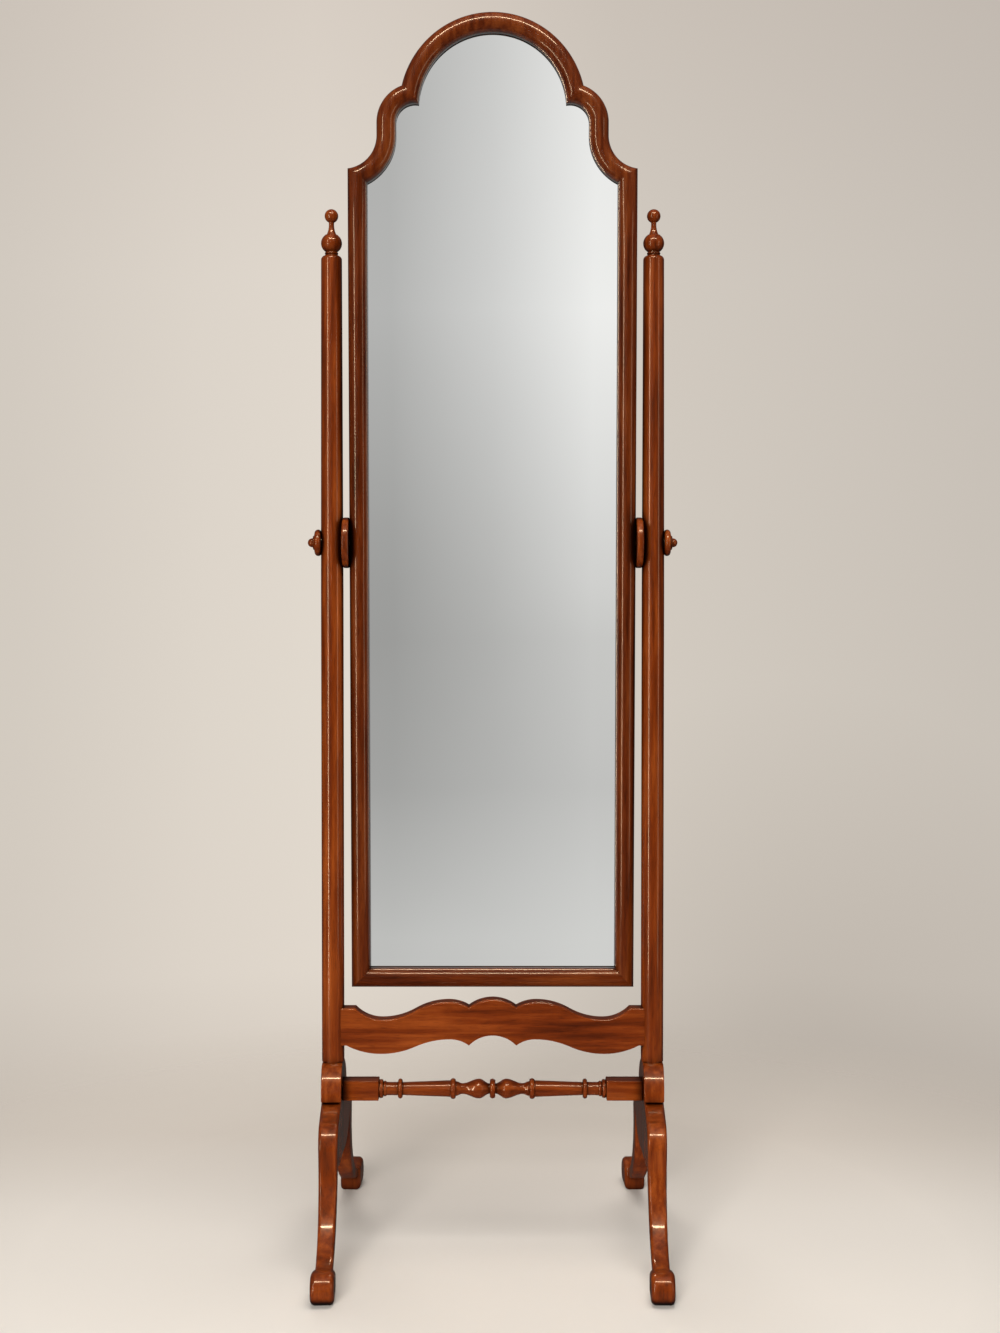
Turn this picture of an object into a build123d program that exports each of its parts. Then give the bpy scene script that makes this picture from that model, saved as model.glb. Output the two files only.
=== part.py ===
from build123d import *
import math
import os

# A floor-standing cheval mirror: two turned posts on cabriole trestles carry a tall looking glass,
# which tilts between them on two clamping knobs. All sizes are in millimetres. +Z is up, the
# viewer stands on the -Y side, and the origin is on the floor, midway between the two posts.

# Stance
POST_SPACING = 417.6
PIVOT_HEIGHT = 910.4
REST_LEAN = 2.3  # degrees that the glass leans towards the viewer at the top

# Posts
POST_DIAMETER = 29.2
POST_TOP_DIAMETER = 27.0
POST_TOP_HEIGHT = 1281.5
POST_SHOULDER_DROP = 5.0  # from the top down to the end of the taper
TAPER_BELOW_PIVOT = 65.4  # where the taper starts
POST_NECK_DIAMETER = 19.6
POST_TENON_DIAMETER = 18.0
POST_TENON_LENGTH = 22.0

# Finials, heights above the post's top
FINIAL_SPIGOT_DIAMETER = 8.0
FINIAL_SPIGOT_LENGTH = 16.0
FINIAL_BASE_RADIUS = 8.6
FINIAL_QUIRK_RADIUS = 7.9
FINIAL_BEAD_RADIUS = 8.7
FINIAL_BEAD_LOW = 2.0
FINIAL_BEAD_HIGH = 4.6
FINIAL_BALL_RADIUS = 13.6
FINIAL_BALL_LOW = 5.8
FINIAL_BALL_MIDDLE = 16.6
FINIAL_BALL_HIGH = 26.8
FINIAL_BALL_TOP_RADIUS = 8.2
FINIAL_FLARE_RADIUS = 6.6
FINIAL_WAIST_RADIUS = 4.2
FINIAL_WAIST_HEIGHT = 33.3
FINIAL_STEM_RADIUS = 3.5
FINIAL_TIP_RADIUS = 8.8
FINIAL_HEIGHT = 60.3

# Trestles: the hub under each post, and a leg in front of and behind it
HUB_TOP = 233.0
HUB_LENGTH = 128.0
HUB_THICKNESS = 26.6
HUB_HALF_DEPTH = 20.0
HUB_EDGE = 1.2
TRESTLE_TAPER = 0.8  # degrees that each side face leans inwards going down
DOME_REACH = 44.0
DOME_RISE = 40.0
LEDGE_THICKNESS = 3.0
LEG_TOE_IN = 2.1  # degrees that the legs turn inwards in plan
KNEE_REACH = 112.0
KNEE_RADIUS = 32.0
KNEE_BELOW_LEDGE = 44.0
KNEE_TOP_SLOPE = 12.7
SHAFT_DEPTH = 24.5  # front to back
SHIN_BELOW_KNEE = 14.0
ARCH_FLAT = 30.0
APEX_ABOVE_SHIN = 5.0
LEG_EDGE = 4.0

SIDE_FACING = 0.9  # least share of a side face's normal that points sideways

# Feet, the setbacks measured from the toe's tip
FOOT_TIP_REACH = 236.0
FOOT_TIP_HEIGHT = 16.0
SOLE_SETBACK = 12.0
FOOT_TOP_SETBACK = 23.0
FOOT_TOP_HEIGHT = 36.5
CREASE_SETBACK = 46.0
CREASE_HEIGHT = 31.3
INSTEP_DROP = 1.3  # from the crease down to the back of the instep
HEEL_SETBACK = 50.0
HEEL_HEIGHT = 20.0
CALF_DROP = 3.0  # from the heel's top down to the end of the calf
ANKLE_DROP = 5.0  # that the leg goes down inside the foot
FOOT_WIDTH = 28.4
FOOT_EDGE = 6.0

# Leg dowels
DOWEL_DIAMETER = 8.0
DOWEL_LENGTH = 36.0
DOWEL_RISES = (20.0, 58.0)  # above the hub's bottom

# Apron rail, its heights measured from the hubs' tops. The middles, cusps and humps are measured
# across from the middle, and the dips and ends from the post.
RAIL_THICKNESS = 20.0
RAIL_ARRIS = 2.5
RAIL_TOP_MIDDLE = 82.0
RAIL_TOP_CUSP = (30.8, 71.8)
RAIL_TOP_HUMP = (57.1, 78.9)
RAIL_TOP_DIP = (50.0, 55.7)
RAIL_TOP_END = (14.8, 70.7)
RAIL_LOW_MIDDLE = 35.1
RAIL_LOW_CUSP = (30.8, 22.0)
RAIL_LOW_HUMP = (55.6, 30.1)
RAIL_LOW_DIP = (48.6, 11.0)
RAIL_LOW_END = (3.4, 22.0)
RAIL_TENON_LENGTH = 12.0
RAIL_TENON_ROOT = 4.0
RAIL_TENON_THICKNESS = 8.0
RAIL_TENON_LOW = 29.0
RAIL_TENON_HIGH = 63.0

# Stretcher: its turning from each square inwards to the shaft, and from the middle outwards
STRETCHER_DROP = 37.1  # from the hubs' tops down to its axis
STRETCHER_SQUARE = 25.5
STRETCHER_CORNER = 2.0
STRETCHER_TENON_DIAMETER = 14.0
STRETCHER_TENON_LENGTH = 12.0
STRETCHER_TENON_ROOT = 4.0
BEAD_ROUND = 2.0
RING_ROUND = 0.8
SQUARE_LENGTH = 47.3
COLLAR_WIDTH = 5.3
COLLAR_RADIUS = 12.1
RING_WIDTH = 4.5
RING_RADIUS = 9.9
NECK_LENGTH = 15.2
NECK_RADIUS = 8.6
OUTER_BEAD_WIDTH = 5.6
OUTER_BEAD_RADIUS = 12.8
SHAFT_THIN_RADIUS = 8.3
SHAFT_FAT_RADIUS = 10.6
INNER_BEAD_START = 48.3
INNER_BEAD_WIDTH = 6.7
INNER_BEAD_RADIUS = 13.3
COVE_RADIUS = 9.4
COVE_WAIST = 39.3
COVE_WAIST_RADIUS = 6.9
VASE_MIDDLE = 17.5
VASE_RADIUS = 12.6
VASE_NECK_RADIUS = 6.6
MIDDLE_BEAD_START = 3.6
MIDDLE_BEAD_RADIUS = 12.6

# Looking-glass frame, measured in its own plane from the pivot axis
FRAME_SIDE_GAP = 8.2  # from the frame to each post, where the pivot disc is
FRAME_RAIL_GAP = 10.5  # from the frame to the apron rail, when upright
MOULDING_WIDTH = 25.0
FRAME_THICKNESS = 24.0
ARCH_HEIGHT = 554.8
SHOULDER_DROP = 18.5  # from the arch's centre to the shoulder's
SHOULDER_STEP = 29.1  # from the arch's side out to the waist
SHOULDER_RADIUS = 49.2
WAIST_LENGTH = 15.9
SCOOP_STEP = 37.3  # from the waist out to the stile's edge
SCOOP_RADIUS = 42.2
MITRE_OVERRUN = 2.0
SWEEP_OVERRUN = 18.0  # degrees past each curved mitre

# Glass, backing and what holds them
GLASS_THICKNESS = 4.0
GLASS_REBATE = 8.0
GLASS_GAP = 0.5
BOARD_THICKNESS = 3.0
BOARD_REBATE = 16.0
SCREW_EDGE_GAP = 3.7  # from the board's edge
SCREW_HEAD_DIAMETER = 5.6
SCREW_HEAD_DEPTH = 1.6
SCREW_DIAMETER = 3.0
SCREW_LENGTH = 13.0
SCREW_POINT = 2.0
SCREW_CORNER_GAP = 101.7
SCREW_PIVOT_GAP = 53.2
STILE_SCREWS = 3  # above the pivot, and as many below
RAIL_SCREW_SPAN = 160.0
RAIL_SCREWS = 2
ARCH_SCREW_ANGLES = (40.0, 90.0, 140.0)
SHOULDER_SCREW_ANGLE = 30.0

# Splines across the mitres
SPLINE_THICKNESS = 3.0
SPLINE_LENGTH = 18.0
SPLINE_WIDTH = 14.0
SPLINE_OFFSET = 1.5

# Pivots
DISC_DIAMETER = 65.7
DISC_EDGE = 2.2
DISC_SEAT_DEPTH = 0.6
DISC_SEAT_MARGIN = 1.0
DISC_RUNNING_GAP = 0.3
INSERT_DIAMETER = 10.0
INSERT_DEPTH = 14.5
INSERT_COVER = 1.0  # of wood between insert and board
STUD_DIAMETER = 6.0
STUD_CLEARANCE = 0.05
STUD_BITE = 12.0
STUD_IN_KNOB = 12.0
STUD_CHAMFER = 0.8

# Knobs, measured outwards from the seat on the post
KNOB_SEAT_DEPTH = 0.9
KNOB_SEAT_DIAMETER = 36.0
KNOB_GAP = 0.25
KNOB_DIAMETER = 34.5
KNOB_FLANGE = 8.6
KNOB_ROUND = 3.2
KNOB_RING_DIAMETER = 18.6
KNOB_RING_START = 8.0
KNOB_RING_ROUND = 1.0
KNOB_RING_END = 11.0
KNOB_COVE_DIAMETER = 22.0
KNOB_COVE_HEIGHT = 7.4
KNOB_BALL_DIAMETER = 11.6
KNOB_PROTRUSION = 18.0
WASHER_DIAMETER = 16.0
WASHER_THICKNESS = 1.5
WASHER_GAP = 0.05
WASHER_SIDE_GAP = 0.3

POST_X = POST_SPACING / 2
POST_RADIUS = POST_DIAMETER / 2
POST_FACE_X = POST_X - POST_RADIUS
POST_SHOULDER_HEIGHT = POST_TOP_HEIGHT - POST_SHOULDER_DROP
POST_TAPER_HEIGHT = PIVOT_HEIGHT - TAPER_BELOW_PIVOT
FINIAL_STEM_TOP = (
    FINIAL_HEIGHT - FINIAL_TIP_RADIUS - math.sqrt(FINIAL_TIP_RADIUS**2 - FINIAL_STEM_RADIUS**2)
)
HUB_BOTTOM = HUB_TOP - HUB_LENGTH
LEDGE_TOP = HUB_TOP - DOME_RISE
LEDGE_BOTTOM = LEDGE_TOP - LEDGE_THICKNESS
KNEE_HEIGHT = LEDGE_BOTTOM - KNEE_BELOW_LEDGE
SHIN_HEIGHT = KNEE_HEIGHT - SHIN_BELOW_KNEE
APEX_HEIGHT = SHIN_HEIGHT + APEX_ABOVE_SHIN
SHAFT_BACK = KNEE_REACH - SHAFT_DEPTH
FOOT_SOLE_END = FOOT_TIP_REACH - SOLE_SETBACK
FOOT_TOP_REACH = FOOT_TIP_REACH - FOOT_TOP_SETBACK
CREASE_REACH = FOOT_TIP_REACH - CREASE_SETBACK
INSTEP_HEIGHT = CREASE_HEIGHT - INSTEP_DROP
HEEL_REACH = FOOT_TIP_REACH - HEEL_SETBACK
CALF_END_HEIGHT = HEEL_HEIGHT - CALF_DROP
LEG_ORIGIN_X = POST_X + HUB_HALF_DEPTH * math.tan(math.radians(LEG_TOE_IN))
TAPER_PER_MM = math.tan(math.radians(TRESTLE_TAPER))
TRESTLE_SECTION = (
    (HUB_THICKNESS / 2, HUB_TOP),
    (HUB_THICKNESS / 2 - HUB_TOP * TAPER_PER_MM, 0),
    (HUB_TOP * TAPER_PER_MM - HUB_THICKNESS / 2, 0),
    (-HUB_THICKNESS / 2, HUB_TOP),
)
RAIL_TENON_MIDDLE = POST_FACE_X + (RAIL_TENON_LENGTH - RAIL_TENON_ROOT) / 2
RAIL_TENON_HEIGHT = HUB_TOP + (RAIL_TENON_LOW + RAIL_TENON_HIGH) / 2
STRETCHER_HEIGHT = HUB_TOP - STRETCHER_DROP
HUB_FACE_X = POST_X - HUB_THICKNESS / 2 + STRETCHER_DROP * TAPER_PER_MM
SQUARE_START = HUB_FACE_X - SQUARE_LENGTH
COLLAR_START = SQUARE_START - COLLAR_WIDTH
RING_START = COLLAR_START - RING_WIDTH
NECK_START = RING_START - NECK_LENGTH
OUTER_BEAD_START = NECK_START - OUTER_BEAD_WIDTH
SHAFT_START = INNER_BEAD_START + INNER_BEAD_WIDTH
STRETCHER_TENON_MIDDLE = HUB_FACE_X + (STRETCHER_TENON_LENGTH - STRETCHER_TENON_ROOT) / 2
FRAME_HALF = POST_FACE_X - FRAME_SIDE_GAP
FRAME_DROP = PIVOT_HEIGHT - HUB_TOP - RAIL_TOP_MIDDLE - FRAME_RAIL_GAP
BACK_FACE = -(BOARD_THICKNESS + INSERT_COVER + INSERT_DIAMETER / 2)
CROWN_FACE = BACK_FACE + FRAME_THICKNESS
CROWN_SPRING = CROWN_FACE - MOULDING_WIDTH / 2
BOARD_FACE = BACK_FACE + BOARD_THICKNESS
GLASS_FACE = BOARD_FACE + GLASS_THICKNESS
WAIST_HALF_WIDTH = FRAME_HALF - SCOOP_STEP
ARCH_RADIUS = WAIST_HALF_WIDTH - SHOULDER_STEP
SHOULDER_HEIGHT = ARCH_HEIGHT - SHOULDER_DROP
SCOOP_HEIGHT = SHOULDER_HEIGHT - WAIST_LENGTH
SCOOP_X = WAIST_HALF_WIDTH + SCOOP_RADIUS
SHOULDER_X = WAIST_HALF_WIDTH - SHOULDER_RADIUS
GLASS_INSET = MOULDING_WIDTH - GLASS_REBATE + GLASS_GAP
BOARD_INSET = MOULDING_WIDTH - BOARD_REBATE + GLASS_GAP
SCREW_INSET = BOARD_INSET + SCREW_EDGE_GAP
DISC_SEAT_X = POST_FACE_X + DISC_SEAT_DEPTH
DISC_FACE_X = DISC_SEAT_X - DISC_RUNNING_GAP
KNOB_SEAT_X = POST_X + POST_RADIUS - KNOB_SEAT_DEPTH
STUD_BORE = STUD_DIAMETER / 2 + STUD_CLEARANCE

# The plane of the looking glass: its origin is on the pivot axis, X runs across, Y runs up the
# glass and Z points out of its face.
LEAN = math.radians(REST_LEAN)
GLASS_PLANE = Plane(
    origin=(0, 0, PIVOT_HEIGHT), x_dir=(1, 0, 0), z_dir=(0, -math.cos(LEAN), -math.sin(LEAN))
)
SIDES = {"left": -1, "right": 1}
ENDS = {"front": -1, "back": 1}


def pivot_plane(x, side):
    """A plane square to the pivot axis at a distance x from the middle, facing outwards."""
    return Plane(origin=(side * x, 0, PIVOT_HEIGHT), x_dir=(0, 1, 0), z_dir=(side, 0, 0))


def pivot_axis(side):
    """The pivot axis, pointing outwards."""
    return Axis((0, 0, PIVOT_HEIGHT), (side, 0, 0))


def turning_plane(x, z):
    """An upright plane through (x, z) for the outline of a turning, X across and Y up."""
    return Plane(origin=(x, 0, z), x_dir=(1, 0, 0), z_dir=(0, -1, 0))


def upright_axis(x):
    """The vertical axis at x."""
    return Axis((x, 0, 0), (0, 0, 1))


def arc_about(centre, start, end):
    """Draws the shorter arc about a centre from start to end."""
    hub = Vector(*centre)
    chord_middle = (Vector(*start) + Vector(*end)) / 2
    reach = (Vector(*start) - hub).length
    return ThreePointArc(start, hub + (chord_middle - hub).normalized() * reach, end)


def ogee(start, end):
    """Draws two equal arcs, level at start and end, that meet halfway."""
    middle = ((start[0] + end[0]) / 2, (start[1] + end[1]) / 2)
    onwards = math.copysign(1, end[0] - start[0])
    TangentArc(start, middle, tangent=(onwards, 0))
    TangentArc(end, middle, tangent=(-onwards, 0))


def bead(start, end, radius, depth):
    """Draws the rounded rim of a turned bead."""
    return ThreePointArc(
        (start, radius - depth), ((start + end) / 2, radius), (end, radius - depth)
    )


def other_side(piece):
    """The same piece on the left."""
    with BuildPart() as copy:
        mirror(piece.part, about=Plane.YZ)
    return copy


def finish(piece, name):
    """Labels a finished sub-part and writes it."""
    piece.part.label = name
    export_step(piece.part, f"parts/{name}.step")


# Posts


def build_post(side):
    """One round post, with its tenon, mortise, seats and stud bore."""
    x = side * POST_X
    with BuildPart() as post:
        with BuildSketch(turning_plane(x, 0)):
            with BuildLine():
                outline = Polyline(
                    (0, HUB_TOP - POST_TENON_LENGTH),
                    (POST_TENON_DIAMETER / 2, HUB_TOP - POST_TENON_LENGTH),
                    (POST_TENON_DIAMETER / 2, HUB_TOP),
                    (POST_RADIUS, HUB_TOP),
                    (POST_RADIUS, POST_TAPER_HEIGHT),
                    (POST_TOP_DIAMETER / 2, POST_SHOULDER_HEIGHT),
                )
                shoulder = TangentArc(
                    outline @ 1, (POST_NECK_DIAMETER / 2, POST_TOP_HEIGHT), tangent=(0, 1)
                )
                Polyline(shoulder @ 1, (0, POST_TOP_HEIGHT), outline @ 0)
            make_face()
        revolve(axis=upright_axis(x))
        with Locations((x, 0, POST_TOP_HEIGHT)):
            Hole(FINIAL_SPIGOT_DIAMETER / 2, FINIAL_SPIGOT_LENGTH)
        with BuildSketch(pivot_plane(DISC_SEAT_X, side)):
            Circle(DISC_DIAMETER / 2 + DISC_SEAT_MARGIN)
        extrude(amount=-POST_RADIUS, mode=Mode.SUBTRACT)
        with BuildSketch(pivot_plane(KNOB_SEAT_X, side)):
            Circle(KNOB_SEAT_DIAMETER / 2)
        extrude(amount=POST_RADIUS, mode=Mode.SUBTRACT)
        with BuildSketch(pivot_plane(POST_X, side)):
            Circle(STUD_BORE)
        extrude(amount=POST_RADIUS, both=True, mode=Mode.SUBTRACT)
        with Locations((side * RAIL_TENON_MIDDLE, 0, RAIL_TENON_HEIGHT)):
            Box(
                RAIL_TENON_LENGTH + RAIL_TENON_ROOT,
                RAIL_TENON_THICKNESS,
                RAIL_TENON_HIGH - RAIL_TENON_LOW,
                mode=Mode.SUBTRACT,
            )
    return post


def build_finial(side):
    """One turned finial, with the spigot that sits in the post's top."""
    x = side * POST_X
    with BuildPart() as finial:
        with BuildSketch(turning_plane(x, POST_TOP_HEIGHT)):
            with BuildLine():
                base = Polyline(
                    (0, -FINIAL_SPIGOT_LENGTH),
                    (FINIAL_SPIGOT_DIAMETER / 2, -FINIAL_SPIGOT_LENGTH),
                    (FINIAL_SPIGOT_DIAMETER / 2, 0),
                    (FINIAL_BASE_RADIUS, 0),
                    (FINIAL_QUIRK_RADIUS, FINIAL_BEAD_LOW),
                )
                rim = ThreePointArc(
                    base @ 1,
                    (FINIAL_BEAD_RADIUS, (FINIAL_BEAD_LOW + FINIAL_BEAD_HIGH) / 2),
                    (FINIAL_QUIRK_RADIUS, FINIAL_BEAD_HIGH),
                )
                quirk = Line(rim @ 1, (FINIAL_QUIRK_RADIUS, FINIAL_BALL_LOW))
                ball = ThreePointArc(
                    quirk @ 1,
                    (FINIAL_BALL_RADIUS, FINIAL_BALL_MIDDLE),
                    (FINIAL_BALL_TOP_RADIUS, FINIAL_BALL_HIGH),
                )
                lip = Line(ball @ 1, (FINIAL_FLARE_RADIUS, FINIAL_BALL_HIGH))
                stem = ThreePointArc(
                    lip @ 1,
                    (FINIAL_WAIST_RADIUS, FINIAL_WAIST_HEIGHT),
                    (FINIAL_STEM_RADIUS, FINIAL_STEM_TOP),
                )
                tip = ThreePointArc(
                    stem @ 1,
                    (FINIAL_TIP_RADIUS, FINIAL_HEIGHT - FINIAL_TIP_RADIUS),
                    (0, FINIAL_HEIGHT),
                )
                Line(tip @ 1, base @ 0)
            make_face()
        revolve(axis=upright_axis(x))
    return finial


# Trestles


def dome_outline():
    """Draws one half of the dome on top of a trestle, down to the ledge over the leg."""
    dome = TangentArc((DOME_REACH, LEDGE_TOP), (POST_RADIUS, HUB_TOP), tangent=(0, 1))
    Polyline(dome @ 1, (0, HUB_TOP), (0, LEDGE_BOTTOM), (DOME_REACH, LEDGE_BOTTOM), dome @ 0)


def build_dowels():
    """The hidden dowels between the legs and the hubs."""
    with BuildPart() as dowels:
        for side in SIDES.values():
            for end in ENDS.values():
                for rise in DOWEL_RISES:
                    place = (side * POST_X, end * HUB_HALF_DEPTH, HUB_BOTTOM + rise)
                    with Locations(Location(place, (90, 0, 0))):
                        Cylinder(DOWEL_DIAMETER / 2, DOWEL_LENGTH)
    return dowels


def build_hub(side, dowels):
    """The upright block under one post, bored for the post, the stretcher and the dowels."""
    x = side * POST_X
    with BuildPart() as hub:
        with BuildSketch(Plane(origin=(x, 0, 0), x_dir=(0, 1, 0), z_dir=(1, 0, 0))):
            with BuildLine():
                dome_outline()
            make_face()
            mirror(about=Plane.YZ)
            with Locations((0, (HUB_BOTTOM + LEDGE_BOTTOM) / 2)):
                Rectangle(2 * DOME_REACH, LEDGE_BOTTOM - HUB_BOTTOM)
            with Locations((0, HUB_TOP / 2)):
                Rectangle(2 * HUB_HALF_DEPTH, HUB_TOP, mode=Mode.INTERSECT)
        extrude(amount=HUB_THICKNESS / 2, both=True)
        with BuildSketch(turning_plane(x, 0)):
            with BuildLine():
                Polyline(*TRESTLE_SECTION, close=True)
            make_face()
        extrude(amount=HUB_HALF_DEPTH, both=True, mode=Mode.INTERSECT)
        side_faces = hub.faces().filter_by(lambda face: abs(face.normal_at().X) > SIDE_FACING)
        long_edges = side_faces.edges().filter_by(
            lambda edge: abs(edge.center().Y) < HUB_HALF_DEPTH - HUB_EDGE
        )
        fillet(long_edges.sort_by(Axis.Z)[:2], LEG_EDGE)
        side_faces = hub.faces().filter_by(lambda face: abs(face.normal_at().X) > SIDE_FACING)
        upper_edges = side_faces.edges().filter_by(
            lambda edge: edge.center().Z > LEDGE_TOP
            and abs(edge.center().Y) < HUB_HALF_DEPTH - HUB_EDGE
        )
        fillet(upper_edges, HUB_EDGE)
        with Locations((x, 0, HUB_TOP)):
            Hole(POST_TENON_DIAMETER / 2, POST_TENON_LENGTH)
        with Locations(
            Location((side * STRETCHER_TENON_MIDDLE, 0, STRETCHER_HEIGHT), (0, 90, 0))
        ):
            Cylinder(
                STRETCHER_TENON_DIAMETER / 2,
                STRETCHER_TENON_LENGTH + STRETCHER_TENON_ROOT,
                mode=Mode.SUBTRACT,
            )
        add(dowels.part, mode=Mode.SUBTRACT)
    return hub


def build_leg(side, end, dowels):
    """One cabriole leg with its share of the dome above and its foot below."""
    origin = (side * LEG_ORIGIN_X, 0, 0)
    turn = math.radians(LEG_TOE_IN)
    outwards = Vector(-side * math.sin(turn), end * math.cos(turn), 0)
    across = outwards.cross(Vector(0, 0, 1))
    side_view = Plane(origin=origin, x_dir=outwards, z_dir=across)
    end_view = Plane(origin=origin, x_dir=across, z_dir=-outwards)

    def side_edges(piece):
        """The edges round both side faces."""
        return (
            piece.faces()
            .filter_by(lambda face: abs(face.normal_at().dot(across)) > SIDE_FACING)
            .edges()
        )

    with BuildPart() as dome:
        with BuildSketch(side_view):
            with BuildLine():
                dome_outline()
            make_face()
        extrude(amount=HUB_THICKNESS / 2, both=True)
        with BuildSketch(end_view):
            with BuildLine():
                Polyline(*TRESTLE_SECTION, close=True)
            make_face()
        extrude(amount=FOOT_TIP_REACH, both=True, mode=Mode.INTERSECT)
        fillet(side_edges(dome), HUB_EDGE)

    with BuildPart() as foot:
        with BuildSketch(side_view):
            with BuildLine():
                sole = Line((HEEL_REACH, 0), (FOOT_SOLE_END, 0))
                toe = ThreePointArc(
                    sole @ 1, (FOOT_TIP_REACH, FOOT_TIP_HEIGHT), (FOOT_TOP_REACH, FOOT_TOP_HEIGHT)
                )
                instep = TangentArc(toe @ 1, (CREASE_REACH, INSTEP_HEIGHT), tangent=toe % 1)
                Polyline(instep @ 1, (HEEL_REACH, HEEL_HEIGHT), sole @ 0)
            make_face()
        extrude(amount=FOOT_WIDTH / 2, both=True)
        fillet(side_edges(foot), FOOT_EDGE)

    with BuildPart() as leg:
        with BuildSketch(side_view):
            with BuildLine():
                knee = CenterArc(
                    (KNEE_REACH - KNEE_RADIUS, KNEE_HEIGHT), KNEE_RADIUS, 0, 90 - KNEE_TOP_SLOPE
                )
                brow_rise = (knee @ 1).X * math.tan(math.radians(KNEE_TOP_SLOPE))
                under = Polyline(
                    knee @ 1,
                    (0, (knee @ 1).Y + brow_rise),
                    (0, HUB_BOTTOM),
                    (ARCH_FLAT, HUB_BOTTOM),
                )
                arch = TangentArc(under @ 1, (SHAFT_BACK, APEX_HEIGHT), tangent=(1, 0))
                shaft = Line(arch @ 1, (SHAFT_BACK, SHIN_HEIGHT))
                calf = TangentArc(shaft @ 1, (HEEL_REACH, CALF_END_HEIGHT), tangent=(0, -1))
                ankle = Polyline(
                    calf @ 1,
                    (FOOT_TOP_REACH, CALF_END_HEIGHT - ANKLE_DROP),
                    (FOOT_TOP_REACH, CREASE_HEIGHT - ANKLE_DROP),
                    (CREASE_REACH, CREASE_HEIGHT),
                )
                shin = TangentArc((KNEE_REACH, SHIN_HEIGHT), ankle @ 1, tangent=(0, -1))
                Line(shin @ 0, knee @ 0)
            make_face()
        extrude(amount=HUB_THICKNESS / 2, both=True)
        with BuildSketch(end_view):
            with BuildLine():
                Polyline(*TRESTLE_SECTION, close=True)
            make_face()
        extrude(amount=FOOT_TIP_REACH, both=True, mode=Mode.INTERSECT)
        fillet(side_edges(leg), LEG_EDGE)
        add(dome.part)
        add(foot.part)
        split(
            bisect_by=Plane(origin=(0, end * HUB_HALF_DEPTH, 0), x_dir=(1, 0, 0), z_dir=(0, end, 0)),
            keep=Keep.TOP,
        )
        add(dowels.part, mode=Mode.SUBTRACT)
    return leg


# Rails between the trestles


def build_apron_rail():
    """The scalloped rail, scribed to the posts, with a tenon into each."""
    top_dip, top_end, low_dip, low_end = (
        (POST_FACE_X - from_post, rise)
        for from_post, rise in (RAIL_TOP_DIP, RAIL_TOP_END, RAIL_LOW_DIP, RAIL_LOW_END)
    )
    with BuildPart() as rail:
        with BuildSketch(turning_plane(0, HUB_TOP)):
            with BuildLine():
                TangentArc((0, RAIL_TOP_MIDDLE), RAIL_TOP_CUSP, tangent=(1, 0))
                TangentArc(RAIL_TOP_HUMP, RAIL_TOP_CUSP, tangent=(-1, 0))
                ogee(RAIL_TOP_HUMP, top_dip)
                TangentArc(top_dip, top_end, tangent=(1, 0))
                Polyline(top_end, (POST_X, top_end[1]), (POST_X, low_end[1]), low_end)
                TangentArc(low_dip, low_end, tangent=(1, 0))
                ogee(RAIL_LOW_HUMP, low_dip)
                TangentArc(RAIL_LOW_HUMP, RAIL_LOW_CUSP, tangent=(-1, 0))
                TangentArc((0, RAIL_LOW_MIDDLE), RAIL_LOW_CUSP, tangent=(1, 0))
                Line((0, RAIL_LOW_MIDDLE), (0, RAIL_TOP_MIDDLE))
            make_face()
            mirror(about=Plane.YZ)
        extrude(amount=RAIL_THICKNESS / 2, both=True)
        halfway = HUB_TOP + (RAIL_LOW_MIDDLE + RAIL_TOP_DIP[1]) / 2
        front_edges = rail.faces().sort_by(Axis.Y)[0].edges()
        fillet(
            front_edges.filter_by(
                lambda edge: edge.center().Z > halfway
                and abs(edge.center().X) < POST_X - RAIL_ARRIS
            ),
            RAIL_ARRIS,
        )
        with Locations((-POST_X, 0, RAIL_TENON_HEIGHT), (POST_X, 0, RAIL_TENON_HEIGHT)):
            Cylinder(POST_RADIUS, HUB_TOP, mode=Mode.SUBTRACT)
        with Locations(
            (-RAIL_TENON_MIDDLE, 0, RAIL_TENON_HEIGHT), (RAIL_TENON_MIDDLE, 0, RAIL_TENON_HEIGHT)
        ):
            Box(
                RAIL_TENON_LENGTH + RAIL_TENON_ROOT,
                RAIL_TENON_THICKNESS,
                RAIL_TENON_HIGH - RAIL_TENON_LOW,
            )
    return rail


def build_square_end(side):
    """The square end of the stretcher, chamfered towards the turning."""
    length = HUB_FACE_X + STRETCHER_CORNER - SQUARE_START
    with BuildPart() as square:
        with Locations((side * (SQUARE_START + length / 2), 0, STRETCHER_HEIGHT)):
            Box(length, STRETCHER_SQUARE, STRETCHER_SQUARE)
        chamfer(square.faces().sort_by(pivot_axis(side))[0].edges(), STRETCHER_CORNER)
    return square


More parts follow.
